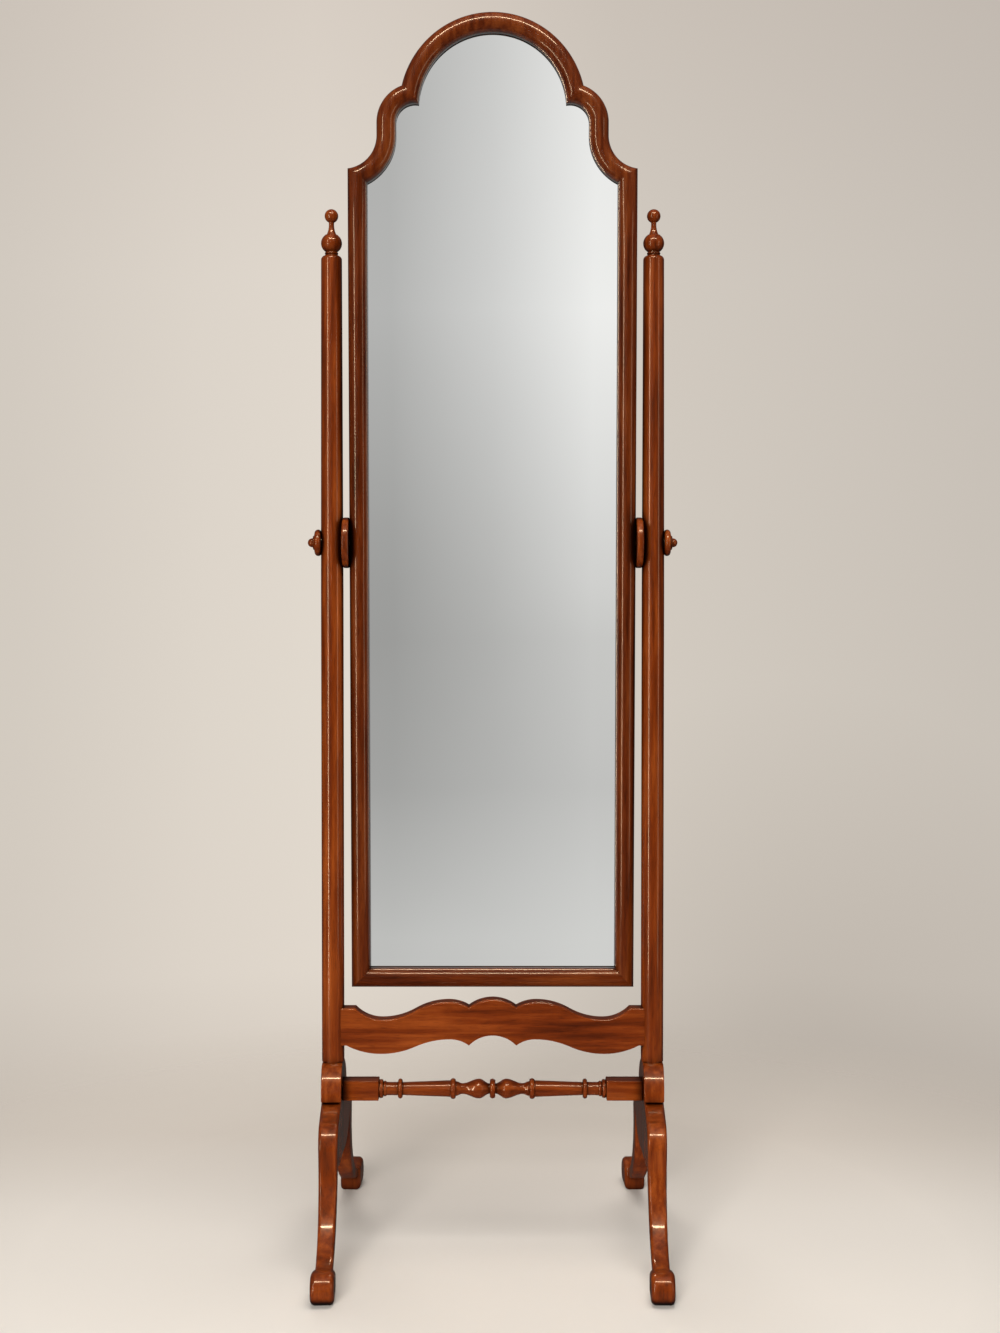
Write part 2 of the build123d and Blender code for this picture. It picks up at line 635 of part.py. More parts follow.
def build_stretcher(hubs):
    """The turned stretcher, with a square and a spigot at each end."""
    with BuildPart() as stretcher:
        with BuildSketch(turning_plane(0, STRETCHER_HEIGHT)):
            with BuildLine():
                crown = TangentArc(
                    (0, MIDDLE_BEAD_RADIUS),
                    (MIDDLE_BEAD_START, MIDDLE_BEAD_RADIUS - BEAD_ROUND),
                    tangent=(1, 0),
                )
                Line(crown @ 1, (MIDDLE_BEAD_START, VASE_NECK_RADIUS))
                ogee((MIDDLE_BEAD_START, VASE_NECK_RADIUS), (VASE_MIDDLE, VASE_RADIUS))
                ogee((VASE_MIDDLE, VASE_RADIUS), (COVE_WAIST, COVE_WAIST_RADIUS))
                cove = TangentArc(
                    (COVE_WAIST, COVE_WAIST_RADIUS), (INNER_BEAD_START, COVE_RADIUS), tangent=(1, 0)
                )
                inner = bead(INNER_BEAD_START, SHAFT_START, INNER_BEAD_RADIUS, BEAD_ROUND)
                Line(cove @ 1, inner @ 0)
                outer = bead(OUTER_BEAD_START, NECK_START, OUTER_BEAD_RADIUS, BEAD_ROUND)
                Polyline(
                    inner @ 1,
                    (SHAFT_START, SHAFT_FAT_RADIUS),
                    (OUTER_BEAD_START, SHAFT_THIN_RADIUS),
                    outer @ 0,
                )
                ring = bead(RING_START, COLLAR_START, RING_RADIUS, RING_ROUND)
                Polyline(
                    outer @ 1, (NECK_START, NECK_RADIUS), (RING_START, NECK_RADIUS), ring @ 0
                )
                collar = bead(COLLAR_START, SQUARE_START, COLLAR_RADIUS, RING_ROUND)
                Line(ring @ 1, collar @ 0)
                Polyline(collar @ 1, (SQUARE_START, 0), (0, 0), crown @ 0)
            make_face()
            mirror(about=Plane.YZ)
        revolve(axis=Axis((0, 0, STRETCHER_HEIGHT), (1, 0, 0)))
        for side in SIDES.values():
            add(build_square_end(side).part)
        add([hub.part for hub in hubs], mode=Mode.SUBTRACT)
        with Locations(
            *(
                Location((side * STRETCHER_TENON_MIDDLE, 0, STRETCHER_HEIGHT), (0, 90, 0))
                for side in SIDES.values()
            )
        ):
            Cylinder(STRETCHER_TENON_DIAMETER / 2, STRETCHER_TENON_LENGTH + STRETCHER_TENON_ROOT)
    return stretcher


# Looking-glass frame. Its outline is known at any inset, measured square to the outer edge, and
# each mitre is the line on which the outlines of two members cross.


def bottom_corner(inset):
    """The bottom right corner of the outline at an inset."""
    return (FRAME_HALF - inset, inset - FRAME_DROP)


def scoop_corner(inset):
    """The point where the stile meets the scoop above it."""
    across = FRAME_HALF - inset
    reach = SCOOP_RADIUS + inset
    return (across, SCOOP_HEIGHT - math.sqrt(reach**2 - (SCOOP_X - across) ** 2))


def notch(inset):
    """The point where the shoulder meets the arch, from two circles that cross."""
    arch = ARCH_RADIUS - inset
    shoulder = SHOULDER_RADIUS - inset
    drop = ARCH_HEIGHT - SHOULDER_HEIGHT
    apart = math.hypot(SHOULDER_X, drop)
    along = (arch**2 - shoulder**2 + apart**2) / (2 * apart)
    aside = math.sqrt(arch**2 - along**2)
    return (
        (along * SHOULDER_X + aside * drop) / apart,
        ARCH_HEIGHT + (aside * SHOULDER_X - along * drop) / apart,
    )


def side_run(inset):
    """Draws the right side of the crest: the scoop, the waist and the shoulder."""
    waist = WAIST_HALF_WIDTH - inset
    arc_about((SCOOP_X, SCOOP_HEIGHT), scoop_corner(inset), (waist, SCOOP_HEIGHT))
    Line((waist, SCOOP_HEIGHT), (waist, SHOULDER_HEIGHT))
    arc_about((SHOULDER_X, SHOULDER_HEIGHT), (waist, SHOULDER_HEIGHT), notch(inset))


def arch_run(inset):
    """Draws the right half of the arch."""
    arc_about((0, ARCH_HEIGHT), notch(inset), (0, ARCH_HEIGHT + ARCH_RADIUS - inset))


def mitre(corner):
    """Draws the mitre at a corner of the crest, past both edges of the moulding."""
    ThreePointArc(
        corner(-MITRE_OVERRUN), corner(MOULDING_WIDTH / 2), corner(MOULDING_WIDTH + MITRE_OVERRUN)
    )


def section_plane(x, y, inwards_x=-1.0, inwards_y=0.0):
    """A plane square to the moulding at (x, y), with X towards the glass and Y out of its face."""
    inwards = GLASS_PLANE.x_dir * inwards_x + GLASS_PLANE.y_dir * inwards_y
    return Plane(
        origin=GLASS_PLANE.from_local_coords((x, y, 0)),
        x_dir=inwards,
        z_dir=inwards.cross(GLASS_PLANE.z_dir),
    )


def face_axis(x, y):
    """The axis square to the glass at (x, y)."""
    return Axis(GLASS_PLANE.from_local_coords((x, y, 0)), GLASS_PLANE.z_dir)


def moulding_section(plane):
    """The half-round moulding with the steps for the glass and the board."""
    glass_step = MOULDING_WIDTH - GLASS_REBATE
    board_step = MOULDING_WIDTH - BOARD_REBATE
    with BuildSketch(plane) as section:
        with BuildLine():
            Polyline(
                (0, CROWN_SPRING),
                (0, BACK_FACE),
                (board_step, BACK_FACE),
                (board_step, BOARD_FACE),
                (glass_step, BOARD_FACE),
                (glass_step, GLASS_FACE),
                (MOULDING_WIDTH, GLASS_FACE),
                (MOULDING_WIDTH, CROWN_SPRING),
            )
            ThreePointArc(
                (MOULDING_WIDTH, CROWN_SPRING), (MOULDING_WIDTH / 2, CROWN_FACE), (0, CROWN_SPRING)
            )
        make_face()
    return section.sketch


def build_stile(splines, screws):
    """The right stile, bored for its pivot insert."""
    length = FRAME_DROP + scoop_corner(0)[1] + MITRE_OVERRUN
    with BuildPart() as stile:
        extrude(moulding_section(section_plane(FRAME_HALF, -FRAME_DROP)), amount=length)
        with BuildSketch(GLASS_PLANE):
            with BuildLine():
                mitre(scoop_corner)
                Polyline(
                    scoop_corner(-MITRE_OVERRUN),
                    bottom_corner(-MITRE_OVERRUN),
                    bottom_corner(MOULDING_WIDTH + MITRE_OVERRUN),
                    scoop_corner(MOULDING_WIDTH + MITRE_OVERRUN),
                )
            make_face()
        extrude(amount=FRAME_THICKNESS, both=True, mode=Mode.INTERSECT)
        with BuildSketch(pivot_plane(FRAME_HALF - INSERT_DEPTH, 1)):
            Circle(INSERT_DIAMETER / 2)
        extrude(amount=2 * INSERT_DEPTH, mode=Mode.SUBTRACT)
        add([splines.part, screws.part], mode=Mode.SUBTRACT)
    return stile


def build_bottom_rail(splines, screws):
    """The bottom rail of the frame."""
    with BuildPart() as rail:
        extrude(
            moulding_section(section_plane(0, -FRAME_DROP, 0, 1)), amount=FRAME_HALF, both=True
        )
        with BuildSketch(GLASS_PLANE):
            with BuildLine():
                outer = bottom_corner(-MITRE_OVERRUN)
                inner = bottom_corner(MOULDING_WIDTH + MITRE_OVERRUN)
                Polyline((0, outer[1]), outer, inner, (0, inner[1]), close=True)
            make_face()
            mirror(about=Plane.YZ)
        extrude(amount=FRAME_THICKNESS, both=True, mode=Mode.INTERSECT)
        add([splines.part, screws.part], mode=Mode.SUBTRACT)
    return rail


def build_shoulder(splines, screws):
    """The right ogee of the crest: a scoop, a short waist and a shoulder."""
    scoop_sweep = math.degrees(math.acos((SCOOP_X - FRAME_HALF) / SCOOP_RADIUS))
    notch_x, notch_y = notch(MOULDING_WIDTH)
    shoulder_sweep = math.degrees(math.atan2(notch_y - SHOULDER_HEIGHT, notch_x - SHOULDER_X))
    with BuildPart() as shoulder:
        waist_section = moulding_section(section_plane(WAIST_HALF_WIDTH, SCOOP_HEIGHT))
        extrude(waist_section, amount=SHOULDER_HEIGHT - SCOOP_HEIGHT)
        revolve(waist_section, face_axis(SCOOP_X, SCOOP_HEIGHT), scoop_sweep + SWEEP_OVERRUN)
        revolve(
            moulding_section(section_plane(WAIST_HALF_WIDTH, SHOULDER_HEIGHT)),
            face_axis(SHOULDER_X, SHOULDER_HEIGHT),
            shoulder_sweep + SWEEP_OVERRUN,
        )
        with BuildSketch(GLASS_PLANE):
            with BuildLine():
                side_run(-MITRE_OVERRUN)
                side_run(MOULDING_WIDTH + MITRE_OVERRUN)
                mitre(scoop_corner)
                mitre(notch)
            make_face()
        extrude(amount=FRAME_THICKNESS, both=True, mode=Mode.INTERSECT)
        add([splines.part, screws.part], mode=Mode.SUBTRACT)
    return shoulder


def build_crest_arch(splines, screws):
    """The arched length of moulding at the top."""
    start = -math.radians(SWEEP_OVERRUN)
    first_section = section_plane(
        ARCH_RADIUS * math.cos(start),
        ARCH_HEIGHT + ARCH_RADIUS * math.sin(start),
        -math.cos(start),
        -math.sin(start),
    )
    with BuildPart() as arch:
        revolve(
            moulding_section(first_section), face_axis(0, ARCH_HEIGHT), 180 + 2 * SWEEP_OVERRUN
        )
        with BuildSketch(GLASS_PLANE):
            with BuildLine():
                arch_run(-MITRE_OVERRUN)
                arch_run(MOULDING_WIDTH + MITRE_OVERRUN)
                mitre(notch)
                mirror(about=Plane.YZ)
            make_face()
        extrude(amount=FRAME_THICKNESS, both=True, mode=Mode.INTERSECT)
        add([splines.part, screws.part], mode=Mode.SUBTRACT)
    return arch


def build_splines():
    """The splines across the mitres, hidden in the thickness of the moulding."""
    with BuildPart() as splines:
        with Locations(GLASS_PLANE):
            for corner in (bottom_corner, scoop_corner, notch):
                x, y = corner(MOULDING_WIDTH / 2)
                outer = corner(0)
                slope = math.degrees(math.atan2(y - outer[1], x - outer[0]))
                with Locations(
                    Location((x, y, SPLINE_OFFSET), (0, 0, slope)),
                    Location((-x, y, SPLINE_OFFSET), (0, 0, -slope)),
                ):
                    Box(SPLINE_WIDTH, SPLINE_LENGTH, SPLINE_THICKNESS)
    return splines


def screw_places():
    """Where the backing screws stand, on the plane of the glass."""
    upper_reach = scoop_corner(0)[1] - SCREW_CORNER_GAP - SCREW_PIVOT_GAP
    lower_reach = FRAME_DROP - SCREW_CORNER_GAP - SCREW_PIVOT_GAP
    rail_gap = RAIL_SCREW_SPAN / (RAIL_SCREWS - 1)
    shoulder_turn = math.radians(SHOULDER_SCREW_ANGLE)
    shoulder_reach = SHOULDER_RADIUS - SCREW_INSET
    right = [
        (
            SHOULDER_X + shoulder_reach * math.cos(shoulder_turn),
            SHOULDER_HEIGHT + shoulder_reach * math.sin(shoulder_turn),
        )
    ]
    for index in range(STILE_SCREWS):
        share = index / (STILE_SCREWS - 1)
        right.append((FRAME_HALF - SCREW_INSET, SCREW_PIVOT_GAP + share * upper_reach))
        right.append((FRAME_HALF - SCREW_INSET, -SCREW_PIVOT_GAP - share * lower_reach))
    middle = [
        (index * rail_gap - RAIL_SCREW_SPAN / 2, SCREW_INSET - FRAME_DROP)
        for index in range(RAIL_SCREWS)
    ]
    for angle in ARCH_SCREW_ANGLES:
        turn = math.radians(angle)
        reach = ARCH_RADIUS - SCREW_INSET
        middle.append((reach * math.cos(turn), ARCH_HEIGHT + reach * math.sin(turn)))
    return right + [(-x, y) for x, y in right] + middle


def build_screws():
    """The countersunk screws that hold the backing board."""
    with BuildPart() as screw:
        with BuildSketch(Plane.XZ):
            with BuildLine():
                Polyline(
                    (0, 0),
                    (SCREW_HEAD_DIAMETER / 2, 0),
                    (SCREW_DIAMETER / 2, SCREW_HEAD_DEPTH),
                    (SCREW_DIAMETER / 2, SCREW_LENGTH - SCREW_POINT),
                    (0, SCREW_LENGTH),
                    close=True,
                )
            make_face()
        revolve(axis=Axis.Z)
    with BuildPart() as screws:
        with Locations(GLASS_PLANE.offset(BACK_FACE)):
            with Locations(*screw_places()):
                add(screw.part)
    return screws


def build_plate(inset, back, thickness):
    """A flat plate with the frame's outline at an inset."""
    with BuildPart() as plate:
        with BuildSketch(GLASS_PLANE.offset(back)):
            with BuildLine():
                foot_x, foot_y = bottom_corner(inset)
                Polyline((0, foot_y), (foot_x, foot_y), scoop_corner(inset))
                side_run(inset)
                arch_run(inset)
                mirror(about=Plane.YZ)
            make_face()
        extrude(amount=thickness)
    return plate


def build_backing_board(screws):
    """The thin board behind the glass."""
    board = build_plate(BOARD_INSET, BACK_FACE, BOARD_THICKNESS)
    with BuildPart() as backing:
        add(board.part)
        add(screws.part, mode=Mode.SUBTRACT)
    return backing


# Pivots and clamping knobs


def build_disc(side):
    """The turned disc between the frame and one post, with a rounded rim."""
    with BuildPart() as disc:
        with BuildSketch(pivot_plane(FRAME_HALF, side)):
            Circle(DISC_DIAMETER / 2)
            Circle(INSERT_DIAMETER / 2, mode=Mode.SUBTRACT)
        extrude(amount=DISC_FACE_X - FRAME_HALF)
        fillet(disc.edges().filter_by(GeomType.CIRCLE).group_by(SortBy.RADIUS)[-1], DISC_EDGE)
    return disc


def build_insert(side):
    """The threaded insert through one disc into the stile."""
    with BuildPart() as insert:
        with BuildSketch(pivot_plane(FRAME_HALF - INSERT_DEPTH, side)):
            Circle(INSERT_DIAMETER / 2)
            Circle(STUD_BORE, mode=Mode.SUBTRACT)
        extrude(amount=INSERT_DEPTH + DISC_FACE_X - FRAME_HALF)
    return insert


def build_stud(side):
    """The threaded stud from the knob, through the post, into the insert."""
    tip = FRAME_HALF - STUD_BITE
    with BuildPart() as stud:
        with BuildSketch(pivot_plane(tip, side)):
            Circle(STUD_DIAMETER / 2)
        extrude(amount=KNOB_SEAT_X + KNOB_GAP + STUD_IN_KNOB - tip)
        chamfer(stud.faces().sort_by(pivot_axis(side))[0].edges(), STUD_CHAMFER)
    return stud


def build_washer(side):
    """The steel washer in the knob's recess, against the post."""
    with BuildPart() as washer:
        with BuildSketch(pivot_plane(KNOB_SEAT_X + WASHER_GAP, side)):
            Circle(WASHER_DIAMETER / 2)
            Circle(STUD_BORE, mode=Mode.SUBTRACT)
        extrude(amount=WASHER_THICKNESS)
    return washer


def build_knob(side, stud):
    """The turned rosette knob: a fat rim, a ring and a ball."""
    ball_height = KNOB_PROTRUSION - KNOB_BALL_DIAMETER / 2
    ball_foot = math.sqrt((KNOB_BALL_DIAMETER / 2) ** 2 - (ball_height - KNOB_RING_END) ** 2)
    rim = KNOB_DIAMETER / 2
    ring = KNOB_RING_DIAMETER / 2
    with BuildPart() as knob:
        with BuildSketch(
            Plane(origin=(side * KNOB_SEAT_X, 0, PIVOT_HEIGHT), x_dir=(0, 0, 1), z_dir=(0, side, 0))
        ):
            with BuildLine():
                face = Line((0, KNOB_GAP), (rim - KNOB_ROUND, KNOB_GAP))
                edge = ThreePointArc(
                    face @ 1,
                    (rim, (KNOB_GAP + KNOB_FLANGE) / 2),
                    (rim - KNOB_ROUND, KNOB_FLANGE),
                )
                cove = ThreePointArc(
                    edge @ 1,
                    (KNOB_COVE_DIAMETER / 2, KNOB_COVE_HEIGHT),
                    (ring - KNOB_RING_ROUND, KNOB_RING_START),
                )
                crown = ThreePointArc(
                    cove @ 1,
                    (ring, (KNOB_RING_START + KNOB_RING_END) / 2),
                    (ring - KNOB_RING_ROUND, KNOB_RING_END),
                )
                ledge = Line(crown @ 1, (ball_foot, KNOB_RING_END))
                ball = ThreePointArc(
                    ledge @ 1, (KNOB_BALL_DIAMETER / 2, ball_height), (0, KNOB_PROTRUSION)
                )
                Line(ball @ 1, face @ 0)
            make_face()
        revolve(axis=pivot_axis(side))
        with BuildSketch(pivot_plane(KNOB_SEAT_X, side)):
            Circle(WASHER_DIAMETER / 2 + WASHER_SIDE_GAP)
        extrude(amount=WASHER_THICKNESS + 2 * WASHER_GAP, mode=Mode.SUBTRACT)
        add(stud.part, mode=Mode.SUBTRACT)
    return knob


os.makedirs("parts", exist_ok=True)

leg_dowels = build_dowels()
frame_splines = build_splines()
backing_screws = build_screws()
finish(leg_dowels, "leg_dowels")
finish(frame_splines, "frame_splines")
finish(backing_screws, "backing_screws")

hubs = []
for side_name, side in SIDES.items():
    hub = build_hub(side, leg_dowels)
    hubs.append(hub)
    finish(hub, f"{side_name}_hub")
    for end_name, end in ENDS.items():
        finish(build_leg(side, end, leg_dowels), f"{side_name}_{end_name}_leg")
    finish(build_post(side), f"{side_name}_post")
    finish(build_finial(side), f"{side_name}_finial")
    finish(build_disc(side), f"{side_name}_pivot_disc")
    finish(build_insert(side), f"{side_name}_pivot_insert")
    finish(build_washer(side), f"{side_name}_knob_washer")
    stud = build_stud(side)
    finish(stud, f"{side_name}_knob_stud")
    finish(build_knob(side, stud), f"{side_name}_knob")

finish(build_apron_rail(), "apron_rail")
finish(build_stretcher(hubs), "stretcher")

right_stile = build_stile(frame_splines, backing_screws)
finish(right_stile, "right_stile")
finish(other_side(right_stile), "left_stile")
right_shoulder = build_shoulder(frame_splines, backing_screws)
finish(right_shoulder, "right_shoulder")
finish(other_side(right_shoulder), "left_shoulder")
finish(build_bottom_rail(frame_splines, backing_screws), "bottom_rail")
finish(build_crest_arch(frame_splines, backing_screws), "crest_arch")
finish(build_plate(GLASS_INSET, BOARD_FACE, GLASS_THICKNESS), "mirror_glass")
finish(build_backing_board(backing_screws), "backing_board")
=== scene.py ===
"""A floor-standing cheval mirror in polished mahogany, dressed and lit in a plain studio.

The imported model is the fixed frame, in metres: +X runs to the viewer's right along the pivot
axis, +Y away from the viewer and +Z up, with the origin on the floor between the posts.
The sizes of the pieces that are shaped here are in millimetres, as a maker would give them.
"""

import logging
import math
from dataclasses import dataclass, field
from enum import Enum

import bmesh
import bpy
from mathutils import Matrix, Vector

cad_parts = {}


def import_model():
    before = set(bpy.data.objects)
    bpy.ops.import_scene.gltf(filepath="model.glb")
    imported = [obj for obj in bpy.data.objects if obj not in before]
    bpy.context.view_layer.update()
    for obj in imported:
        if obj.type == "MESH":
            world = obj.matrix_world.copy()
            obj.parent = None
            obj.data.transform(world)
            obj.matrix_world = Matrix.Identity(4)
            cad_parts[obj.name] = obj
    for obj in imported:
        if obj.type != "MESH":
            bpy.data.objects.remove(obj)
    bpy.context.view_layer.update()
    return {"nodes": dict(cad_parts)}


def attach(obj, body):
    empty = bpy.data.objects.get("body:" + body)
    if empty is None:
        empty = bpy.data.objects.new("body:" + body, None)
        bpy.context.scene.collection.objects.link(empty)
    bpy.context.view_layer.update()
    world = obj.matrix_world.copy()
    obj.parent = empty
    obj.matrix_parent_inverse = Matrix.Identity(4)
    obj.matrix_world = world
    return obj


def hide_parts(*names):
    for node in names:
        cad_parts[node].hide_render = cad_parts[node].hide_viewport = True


LOG = logging.getLogger("cheval_mirror")
MM = 0.001
MERGE_DISTANCE = 1e-6

Colour = tuple[float, float, float]
Place = tuple[float, float, float]
Spot = tuple[float, float]

SIDES = {"left": -1, "right": 1}
UP = Vector((0.0, 0.0, 1.0))
WHITE: Colour = (1.0, 1.0, 1.0)
BLACK: Colour = (0.0, 0.0, 0.0)


def grey(level: float) -> Colour:
    """Gives the grey of a level."""
    return (level, level, level)


class Grain(Enum):
    """The way a member's grain runs, as the rotation that lays the X axis along it."""

    UPRIGHT = (0.0, math.radians(90.0), 0.0)
    ACROSS = (0.0, 0.0, 0.0)


class LampUse(Enum):
    """What a lamp is for, with its tint: it either draws highlights on polish or lights surfaces."""

    HIGHLIGHT = (1.0, 0.72, 0.46)
    FILL = (1.0, 0.975, 0.94)


class NodeSheet:
    """A node tree with short calls for adding and joining nodes."""

    def __init__(self, tree: bpy.types.NodeTree) -> None:
        """Empties the tree.

        Args:
            tree: The node tree of a material or a world.
        """
        self.tree = tree
        tree.nodes.clear()

    def link(self, source: bpy.types.NodeSocket, target: bpy.types.NodeSocket) -> None:
        """Joins two sockets."""
        self.tree.links.new(source, target)

    def feed(self, socket: bpy.types.NodeSocket, value: object) -> None:
        """Gives a socket its value.

        Args:
            socket: The socket.
            value: Another socket to join to it, or what it holds.
        """
        if isinstance(value, bpy.types.NodeSocket):
            self.link(value, socket)
        else:
            socket.default_value = value

    def add(self, kind: str, **inputs: object) -> bpy.types.Node:
        """Adds a node.

        Args:
            kind: The node's type, without its ShaderNode prefix.
            inputs: Values or sockets by input name, with underscores for spaces, and
                settings of the node where no input has that name.

        Returns:
            The new node.
        """
        node = self.tree.nodes.new("ShaderNode" + kind)
        for name, value in inputs.items():
            socket = next((s for s in node.inputs if s.name.replace(" ", "_") == name), None)
            if socket is None:
                setattr(node, name, value)
            else:
                self.feed(socket, value)
        return node

    def maths(self, operation: str, first: object, second: object = 0.0,
              third: object = 0.0) -> bpy.types.NodeSocket:
        """Adds a Math node.

        Args:
            operation: The Math node's operation.
            first: A socket or a number.
            second: A socket or a number.
            third: A socket or a number.

        Returns:
            Its result.
        """
        node = self.add("Math", operation=operation)
        for socket, value in zip(node.inputs, (first, second, third)):
            self.feed(socket, value)
        return node.outputs[0]

    def noise(self, space: bpy.types.NodeSocket, stretch: Place, **settings: object) -> bpy.types.NodeSocket:
        """Adds a noise that is finer along some axes than along others.

        Args:
            space: The coordinates that it reads.
            stretch: How many times a metre it changes along each axis.
            settings: Inputs of the Noise Texture node.

        Returns:
            Its level.
        """
        stretched = self.add("Mapping", Vector=space, Scale=stretch).outputs[0]
        return self.add("TexNoise", Vector=stretched, Scale=1.0, **settings).outputs[0]

    def ramp(self, factor: bpy.types.NodeSocket, stops: dict[float, Colour]) -> bpy.types.NodeSocket:
        """Adds a colour ramp.

        Args:
            factor: What the ramp reads.
            stops: The colours by their places.

        Returns:
            The ramp's colour.
        """
        node = self.add("ValToRGB", Fac=factor)
        places = sorted(stops)
        ramp = node.color_ramp
        ramp.elements[0].position = places[0]
        ramp.elements[1].position = places[-1]
        for place in places[1:-1]:
            ramp.elements.new(place)
        for element, place in zip(ramp.elements, places):
            element.color = (*stops[place], 1.0)
        return node.outputs["Color"]

    def mix(self, factor: object, first: object, second: object, blend: str = "MIX") -> bpy.types.NodeSocket:
        """Mixes two colours.

        Args:
            factor: A socket or a number.
            first: A colour or its socket.
            second: A colour or its socket.
            blend: The Mix node's blend type.

        Returns:
            The mixed colour.
        """
        node = self.add("Mix", data_type="RGBA", blend_type=blend)
        self.feed(node.inputs[0], factor)
        for socket, value in zip((node.inputs[6], node.inputs[7]), (first, second)):
            self.feed(socket, value if isinstance(value, bpy.types.NodeSocket) else (*value, 1.0))
        return node.outputs[2]

    def finish(self, shader: bpy.types.Node, output: str = "OutputMaterial") -> None:
        """Joins a shader to a new output node."""
        self.link(shader.outputs[0], self.add(output).inputs["Surface"])


def new_finish(name: str) -> tuple[bpy.types.Material, NodeSheet]:
    """Starts a material.

    Args:
        name: Its name.

    Returns:
        The material and its empty node sheet.
    """
    material = bpy.data.materials.new(name)
    material.use_nodes = True
    return material, NodeSheet(material.node_tree)


@dataclass(frozen=True)
class Mahogany:
    """Stained and lacquered mahogany, its grain laid along a member."""

    name: str
    grain: Grain
    dark: Colour = (0.03, 0.0032, 0.0004)
    middle: Colour = (0.165, 0.0245, 0.0016)
    light: Colour = (0.37, 0.078, 0.009)
    roughness: float = 0.32
    coat: float = 0.8
    coat_roughness: float = 0.085
    figure_stretch: Place = (3.0, 26.0, 26.0)
    ribbon_stretch: Place = (8.0, 150.0, 150.0)
    pore_stretch: Place = (60.0, 1500.0, 1500.0)
    pore_colour: Colour = (0.35, 0.3, 0.28)
    pore_share: float = 0.7
    # The colour and reach of the painted shade in creases and joints.
    crease_shade_colour: Colour = (0.05, 0.04, 0.035)
    crease_shade_reach: float = 0.014
    sheen_swing: float = 0.16

    def make(self) -> bpy.types.Material:
        """Builds the material, with painted shade and less gloss in its creases.

        Returns:
            The finished material.
        """
        material, sheet = new_finish(self.name)
        place = sheet.add("TexCoord").outputs["Object"]
        turned = sheet.add("Mapping", Vector=place, Rotation=self.grain.value).outputs[0]
        figure = sheet.noise(turned, self.figure_stretch, Detail=6.0, Roughness=0.6, Distortion=0.5)
        ribbon = sheet.noise(turned, self.ribbon_stretch, Detail=4.0, Roughness=0.55, Distortion=0.2)
        pores = sheet.noise(turned, self.pore_stretch, Detail=2.0)
        streaks = sheet.add("Mix", data_type="FLOAT")
        for index, value in ((0, 0.5), (2, figure), (3, ribbon)):
            sheet.feed(streaks.inputs[index], value)
        body = sheet.ramp(streaks.outputs[0], {0.30: self.dark, 0.48: self.middle, 0.72: self.light})
        fleck = sheet.ramp(pores, {0.30: self.pore_colour, 0.46: WHITE})
        grained = sheet.mix(self.pore_share, body, fleck, "MULTIPLY")
        # Painted shade: ambient occlusion darkens the colour in creases and joints, and thins the coat there.
        crease = sheet.add("AmbientOcclusion", samples=8, Distance=self.crease_shade_reach).outputs["AO"]
        painted_shade = sheet.ramp(crease, {0.45: self.crease_shade_colour, 0.97: WHITE})
        colour = sheet.mix(1.0, grained, painted_shade, "MULTIPLY")
        sheen = sheet.maths("MULTIPLY_ADD", ribbon, self.sheen_swing, self.roughness - self.sheen_swing / 2.0)
        gloss = sheet.maths("MULTIPLY", sheet.maths("POWER", crease, 2.0), self.coat) if self.coat else 0.0
        bump = sheet.add("Bump", Height=pores, Strength=0.01, Distance=0.0001)
        sheet.finish(sheet.add("BsdfPrincipled", Base_Color=colour, Roughness=sheen, IOR=1.45,
                               Specular_IOR_Level=0.3, Coat_Weight=gloss,
                               Coat_Roughness=self.coat_roughness, Coat_IOR=1.5, Normal=bump.outputs[0]))
        return material


@dataclass(frozen=True)
class Metal:
    """A plain metal with a slightly uneven polish."""

    name: str
    colour: Colour
    roughness: float
    unevenness: float = 0.08
    wear_scale: float = 260.0
    worn_share: float = 0.8

    def make(self) -> bpy.types.Material:
        """Builds the material.

        Returns:
            The finished material.
        """
        material, sheet = new_finish(self.name)
        place = sheet.add("TexCoord").outputs["Object"]
        wear = sheet.add("TexNoise", Vector=place, Scale=self.wear_scale, Detail=4.0).outputs[0]
        worn = tuple(self.worn_share * part for part in self.colour)
        tint = sheet.ramp(wear, {0.25: worn, 0.7: self.colour})
        polish = sheet.maths("MULTIPLY_ADD", wear, self.unevenness, self.roughness)
        sheet.finish(sheet.add("BsdfPrincipled", Base_Color=tint, Roughness=polish, Metallic=1.0))
        return material


@dataclass(frozen=True)
class Silvering:
    """The silvered glass: a clean mirror with a faint cool cast."""

    name: str = "silvered_glass"
    colour: Colour = (0.86, 0.87, 0.865)
    haze_scale: float = 6.0
    haze_share: float = 0.985

    def make(self) -> bpy.types.Material:
        """Builds the material.

        Returns:
            The finished material.
        """
        material, sheet = new_finish(self.name)
        place = sheet.add("TexCoord").outputs["Object"]
        haze = sheet.add("TexNoise", Vector=place, Scale=self.haze_scale, Detail=2.0).outputs[0]
        hazed = tuple(self.haze_share * part for part in self.colour)
        tint = sheet.ramp(haze, {0.3: hazed, 0.7: self.colour})
        sheet.finish(sheet.add("BsdfPrincipled", Base_Color=tint, Roughness=0.0, Metallic=1.0))
        return material


